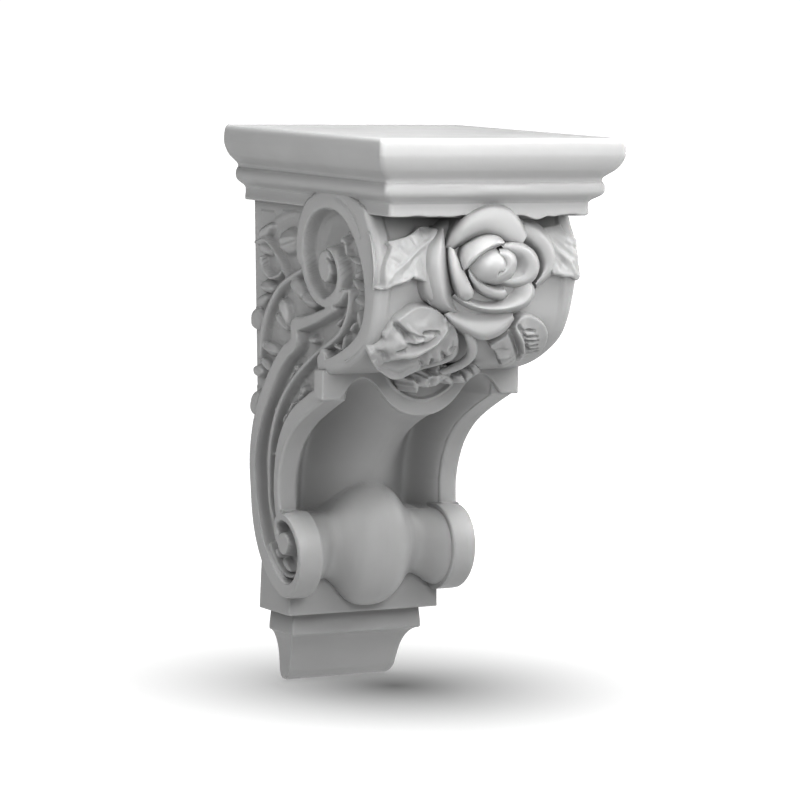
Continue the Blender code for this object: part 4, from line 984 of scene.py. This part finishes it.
def makeLeaf(name, leaf):
    # Height = the anchors' spread + each stroke's cosine hump - the rim's quarter circle, eased
    # down to the ground across the outline; a flat underside closes it
    step, margin = leafShape["step"], leafShape["margin"]
    ring = closedFlow(leaf["outline"], 6)
    low, high = ring.min(0) - margin, ring.max(0) + margin
    u, v = np.meshgrid(*(np.linspace(a, b, int((b - a) / step)) for a, b in zip(low, high)))
    edge = nearest(u, v, ring)[0] * np.where(within(u, v, ring), 1, -1)
    lift = spread(u, v, leaf["anchors"])
    for points, half, change in leaf["strokes"]:
        gap, share = nearest(u, v, flow(points, 8 * len(points)))[::3]
        middle = leafShape["strokeMiddle"] * swell(share, 0.5, leafShape["strokeHalf"])
        hump = swell(gap, 0, half * leafShape["strokeWide"])
        lift += change * leaf.get("bold", 1.0) * hump * (leafShape["strokeEnd"] + middle)
    lift -= roundEdge(np.clip(edge, 0, None), leafShape["round"]) * leafShape["roundShare"]
    front = leaf.get("front", False)
    ground = leafShape["frontGround"] if front else leafShape["ground"]
    top = ground + (lift - ground) * ease(edge, *leafShape["wall"])
    under = np.full((len(u), 2), ground - leafShape["under"])
    across = np.concatenate([u, u[:, -1:], u[:, :1]], 1)
    along = np.concatenate([v, v[:, -1:], v[:, :1]], 1)
    level = np.concatenate([top, under], 1)
    if front:
        closedPiece(name, toPlaces(across, level, along))
    else:
        closedPiece(name, onRoll(toPlaces(across, along, level)))


for leafName, leaf in leaves.items():
    makeLeaf(leafName, leaf)


# Stems from under the rose to the two small leaves, as (across, down, out, radius)

stems = {
    "stem": ((-7.5, 98.0, 146, 2.2), (-5.0, 102.1, 146, 2.6), (-0.6, 108.4, 142.5, 2.8),
             (2.2, 114.1, 136.5, 2.7), (2.0, 118.7, 129.5, 2.5), (-0.6, 122.3, 122.5, 2.2),
             (-4.1, 124.7, 117, 1.6)),
    "stemBehind": ((-12.5, 99.0, 138, 2.2), (-9.5, 104.3, 138, 2.6), (-6.2, 111.4, 133, 2.8),
                   (-6.6, 115.3, 128, 2.8), (-11.3, 118.1, 122, 2.8), (-15.4, 120.6, 117, 2.2),
                   (-19.6, 123.4, 112, 1.6)),
}


def makeStem(name, rows):
    # A round section carried along a path, each ring square to it
    path = flow(np.asarray(rows, float)[:, [0, 2, 1, 3]], 70)
    run = np.gradient(path[:, :3], axis=0)
    run /= np.linalg.norm(run, axis=1)[:, None]
    across = np.cross(run, (0.0, 0.6, 0.8))               # a direction that no stem runs along
    across /= np.linalg.norm(across, axis=1)[:, None]
    over = np.cross(across, run)
    turn = np.linspace(0, 2 * math.pi, 33)[:-1, None]
    ring = (across[:, None] * np.cos(turn) + over[:, None] * np.sin(turn)) * path[:, None, 3:]
    closedPiece(name, path[:, None, :3] + ring)


for stemName, stemRows in stems.items():
    makeStem(stemName, stemRows)


# Cast polyurethane: closed-cell foam with a dense skin from a smooth silicone mould, primed white.
# The eye sees a white satin surface, a little uneven in gloss, with a faint orange-peel skin.

finish = {
    "white": "C2C2C2", "shade": "BBBBBB", "ior": 1.49, "metallic": 0.0,
    "gloss": 0.42, "glossSpread": 0.06,
    "mottle": 22.0, "mottleDetail": 3.0, "mottleRange": (0.3, 0.7),  # patches of about 45 mm
    "skinScale": 900.0, "skinDetail": 2.0,                # lumps of 1.1 mm; finer wouldn't show
    "skinDepth": 0.06, "skinHeight": 0.0002,
}


def hexColour(text):
    # sRGB hex to linear: each channel by the standard curve
    values = [int(text[i:i + 2], 16) / 255 for i in (0, 2, 4)]
    return [v / 12.92 if v <= 0.04045 else ((v + 0.055) / 1.055) ** 2.4 for v in values] + [1.0]


def node(tree, kind, settings=None, links=None):
    # One node with its settings: numbered or named sockets, attributes, and links to its inputs
    made = tree.nodes.new(kind)
    for key, value in (settings or {}).items():
        if isinstance(key, int) or key in made.inputs:
            made.inputs[key].default_value = value
        else:
            setattr(made, key, value)
    for key, source in (links or {}).items():
        tree.links.new(source, made.inputs[key])
    return made


def newTree(holder, name):
    # A new material's or world's nodes
    made = holder.new(name)
    made.use_nodes = True
    return made, made.node_tree


def makeFinish():
    material, tree = newTree(bpy.data.materials, "castPolyurethane")
    shader = tree.nodes["Principled BSDF"]
    shader.inputs["IOR"].default_value = finish["ior"]
    shader.inputs["Metallic"].default_value = finish["metallic"]
    spot = node(tree, "ShaderNodeTexCoord").outputs["Object"]
    mottle = node(tree, "ShaderNodeTexNoise", {"Scale": finish["mottle"],
                  "Detail": finish["mottleDetail"]}, {"Vector": spot}).outputs[0]
    skin = node(tree, "ShaderNodeTexNoise", {"Scale": finish["skinScale"],
                "Detail": finish["skinDetail"]}, {"Vector": spot}).outputs[0]
    tone = node(tree, "ShaderNodeMix", {"data_type": "RGBA", 6: hexColour(finish["white"]),
                7: hexColour(finish["shade"])}, {0: mottle})
    low, high = finish["mottleRange"]
    gloss = node(tree, "ShaderNodeMapRange", {"From Min": low, "From Max": high,
                 "To Min": finish["gloss"] - finish["glossSpread"],
                 "To Max": finish["gloss"] + finish["glossSpread"]}, {"Value": mottle})
    relief = node(tree, "ShaderNodeBump", {"Strength": finish["skinDepth"],
                  "Distance": finish["skinHeight"]}, {"Height": skin})
    tree.links.new(tone.outputs[2], shader.inputs["Base Color"])
    tree.links.new(gloss.outputs[0], shader.inputs["Roughness"])
    tree.links.new(relief.outputs[0], shader.inputs["Normal"])
    return material


material = makeFinish()
for piece in pieces:
    piece.data.materials.append(material)
    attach(piece, "root")
    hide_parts("corbel")
print("finished", len(pieces), "pieces,", sum(len(p.data.polygons) for p in pieces), "faces")


# Studio, in metres: a pale floor, soft lights, and a long lens at the photograph's viewing angle

studio = {
    "yaw": 29.99994, "pitch": 6.097264, "roll": 1.26413677, "lens": 174.59, "sensor": 36.0,
    "toCorbel": (-0.42898522, 29.68120805, 2.10650596), "unit": 0.0715,   # in units of 71.5 mm
    "floor": -0.1535, "floorHalf": 40.0, "floorRough": 0.9,
    "floorGlow": 0.95,                                    # what the floor gives the corbel as light
    "floorShown": 0.1, "paintedShadowCentre": (0.018, -0.038, -0.1535),      # and what the lens sees of it, with a painted shadow: darker round the foot
    "paintedShadowReach": 1.2, "paintedShadowSteep": 11.5, "paintedShadowDepth": -0.74, "shownGlowFar": 0.99,   # darker at the foot
    "white": 1.1, "low": 0.0, "top": 1.44, "skyRise": (0.5, 0.9),    # sky to the lens, and as light
    "target": (0.0, -0.09, 0.05), "gamma": 0.5,
}
lights = {                                                # place, size and power in watts
    "key": ((0.29, -0.62, 0.86), 0.8, 5.0),
    "over": ((0.0, -0.10, 1.2), 0.6, 8.5),
    "left": ((-0.80, -0.55, 0.42), 0.6, 1.6),
    "leftSide": ((-0.85, -0.15, 0.45), 0.5, 2.4),
    "right": ((0.60, -0.78, 0.44), 0.7, 1.7),
    "rightSide": ((0.9, -0.25, 0.35), 0.5, 2.9),
    "nearCap": ((-0.10, -0.60, 0.22), 0.2, 1.15),
}


def turnFrom(angle, a, b):
    # A turn by an angle in degrees that carries axis a towards axis b
    turn = np.eye(3)
    turn[a, a] = turn[b, b] = math.cos(math.radians(angle))
    turn[b, a] = math.sin(math.radians(angle))
    turn[a, b] = -turn[b, a]
    return turn


def makeCamera():
    # Yaw, pitch and roll, then back from the corbel's middle by where it is from the lens
    turn = (turnFrom(studio["roll"], 2, 0) @ turnFrom(studio["pitch"], 1, 2)
            @ turnFrom(studio["yaw"], 0, 1))
    spot = -(turn.T @ np.array(studio["toCorbel"])) * studio["unit"]
    lens = bpy.data.cameras.new("camera")
    lens.lens, lens.sensor_width = studio["lens"], studio["sensor"]
    lens.clip_start, lens.clip_end = 0.1, 50.0
    camera = bpy.data.objects.new("camera", lens)
    bpy.context.scene.collection.objects.link(camera)
    frameOf = np.eye(4)
    frameOf[:3, 0], frameOf[:3, 1], frameOf[:3, 2] = turn[0], turn[2], -turn[1]
    frameOf[:3, 3] = spot + np.array((0, 0, height / 2 * mm))
    camera.matrix_world = Matrix(frameOf.tolist())
    bpy.context.scene.camera = camera


def makeFloor():
    # What the floor gives the corbel as light, and what the lens sees of it, are set apart. The lens
    # sees a painted shadow on it: glow high + depth * (1 - distance from its centre / reach) ** steep.
    mesh = bpy.data.meshes.new("floor")
    half, level = studio["floorHalf"], studio["floor"]
    corners = [(x * half, y * half, level) for x, y in ((-1, -1), (1, -1), (1, 1), (-1, 1))]
    mesh.from_pydata(corners, [], [(0, 1, 2, 3)])
    floor = bpy.data.objects.new("floor", mesh)
    bpy.context.scene.collection.objects.link(floor)
    pale, tree = newTree(bpy.data.materials, "paleFloor")
    shader = tree.nodes["Principled BSDF"]
    shader.inputs["Roughness"].default_value = studio["floorRough"]
    shader.inputs["Emission Color"].default_value = (1.0, 1.0, 1.0, 1.0)
    seen = node(tree, "ShaderNodeLightPath").outputs["Is Camera Ray"]
    # Painted shadow: the floor's glow to the lens is lower near the centre by the corbel's foot
    away = node(tree, "ShaderNodeVectorMath", {"operation": "DISTANCE", 1: studio["paintedShadowCentre"]},
                {0: node(tree, "ShaderNodeTexCoord").outputs["Object"]})
    share = node(tree, "ShaderNodeMapRange", {"From Min": 0.0, "From Max": studio["paintedShadowReach"],
                 "To Min": 1.0, "To Max": 0.0}, {"Value": away.outputs["Value"]})
    power = node(tree, "ShaderNodeMath", {"operation": "POWER", 1: studio["paintedShadowSteep"]},
                 {0: share.outputs[0]})
    fade = node(tree, "ShaderNodeMath", {"operation": "MULTIPLY_ADD", 1: studio["paintedShadowDepth"],
                2: studio["shownGlowFar"]}, {0: power.outputs[0]})
    glow = node(tree, "ShaderNodeMix", {"data_type": "FLOAT", 2: studio["floorGlow"]},
                {0: seen, 3: fade.outputs[0]})
    tone = node(tree, "ShaderNodeMath", {"operation": "MULTIPLY", 1: studio["floorShown"]},
                {0: seen})
    tree.links.new(tone.outputs[0], shader.inputs["Base Color"])
    tree.links.new(glow.outputs[0], shader.inputs["Emission Strength"])
    mesh.materials.append(pale)


def makeLight(name, spot, size, power):
    lamp = bpy.data.lights.new(name, "AREA")
    lamp.size, lamp.energy = size, power
    light = bpy.data.objects.new(name, lamp)
    light.location = spot
    aim = Vector(studio["target"]) - Vector(spot)
    light.rotation_euler = aim.to_track_quat("-Z", "Y").to_euler()
    bpy.context.scene.collection.objects.link(light)


def makeSky():
    # White to the lens; as light it is dim near the horizon and brighter overhead
    sky, tree = newTree(bpy.data.worlds, "studio")
    way = node(tree, "ShaderNodeSeparateXYZ", {},
               {"Vector": node(tree, "ShaderNodeTexCoord").outputs["Generated"]})
    rise = node(tree, "ShaderNodeMapRange", {"From Min": studio["skyRise"][0],
                "From Max": studio["skyRise"][1], "To Min": studio["low"],
                "To Max": studio["top"]}, {"Value": way.outputs["Z"]})
    seen = node(tree, "ShaderNodeLightPath").outputs["Is Camera Ray"]
    glow = node(tree, "ShaderNodeMix", {"data_type": "FLOAT", 3: studio["white"]},
                {0: seen, 2: rise.outputs[0]})
    back = tree.nodes["Background"]
    back.inputs["Color"].default_value = (1.0, 1.0, 1.0, 1.0)
    tree.links.new(glow.outputs[0], back.inputs["Strength"])
    bpy.context.scene.world = sky


makeCamera()
makeFloor()
makeSky()
for lightName, light in lights.items():
    makeLight(lightName, *light)
bpy.context.scene.view_settings.view_transform = "Standard"
bpy.context.scene.view_settings.gamma = studio["gamma"]
print("studio ready")
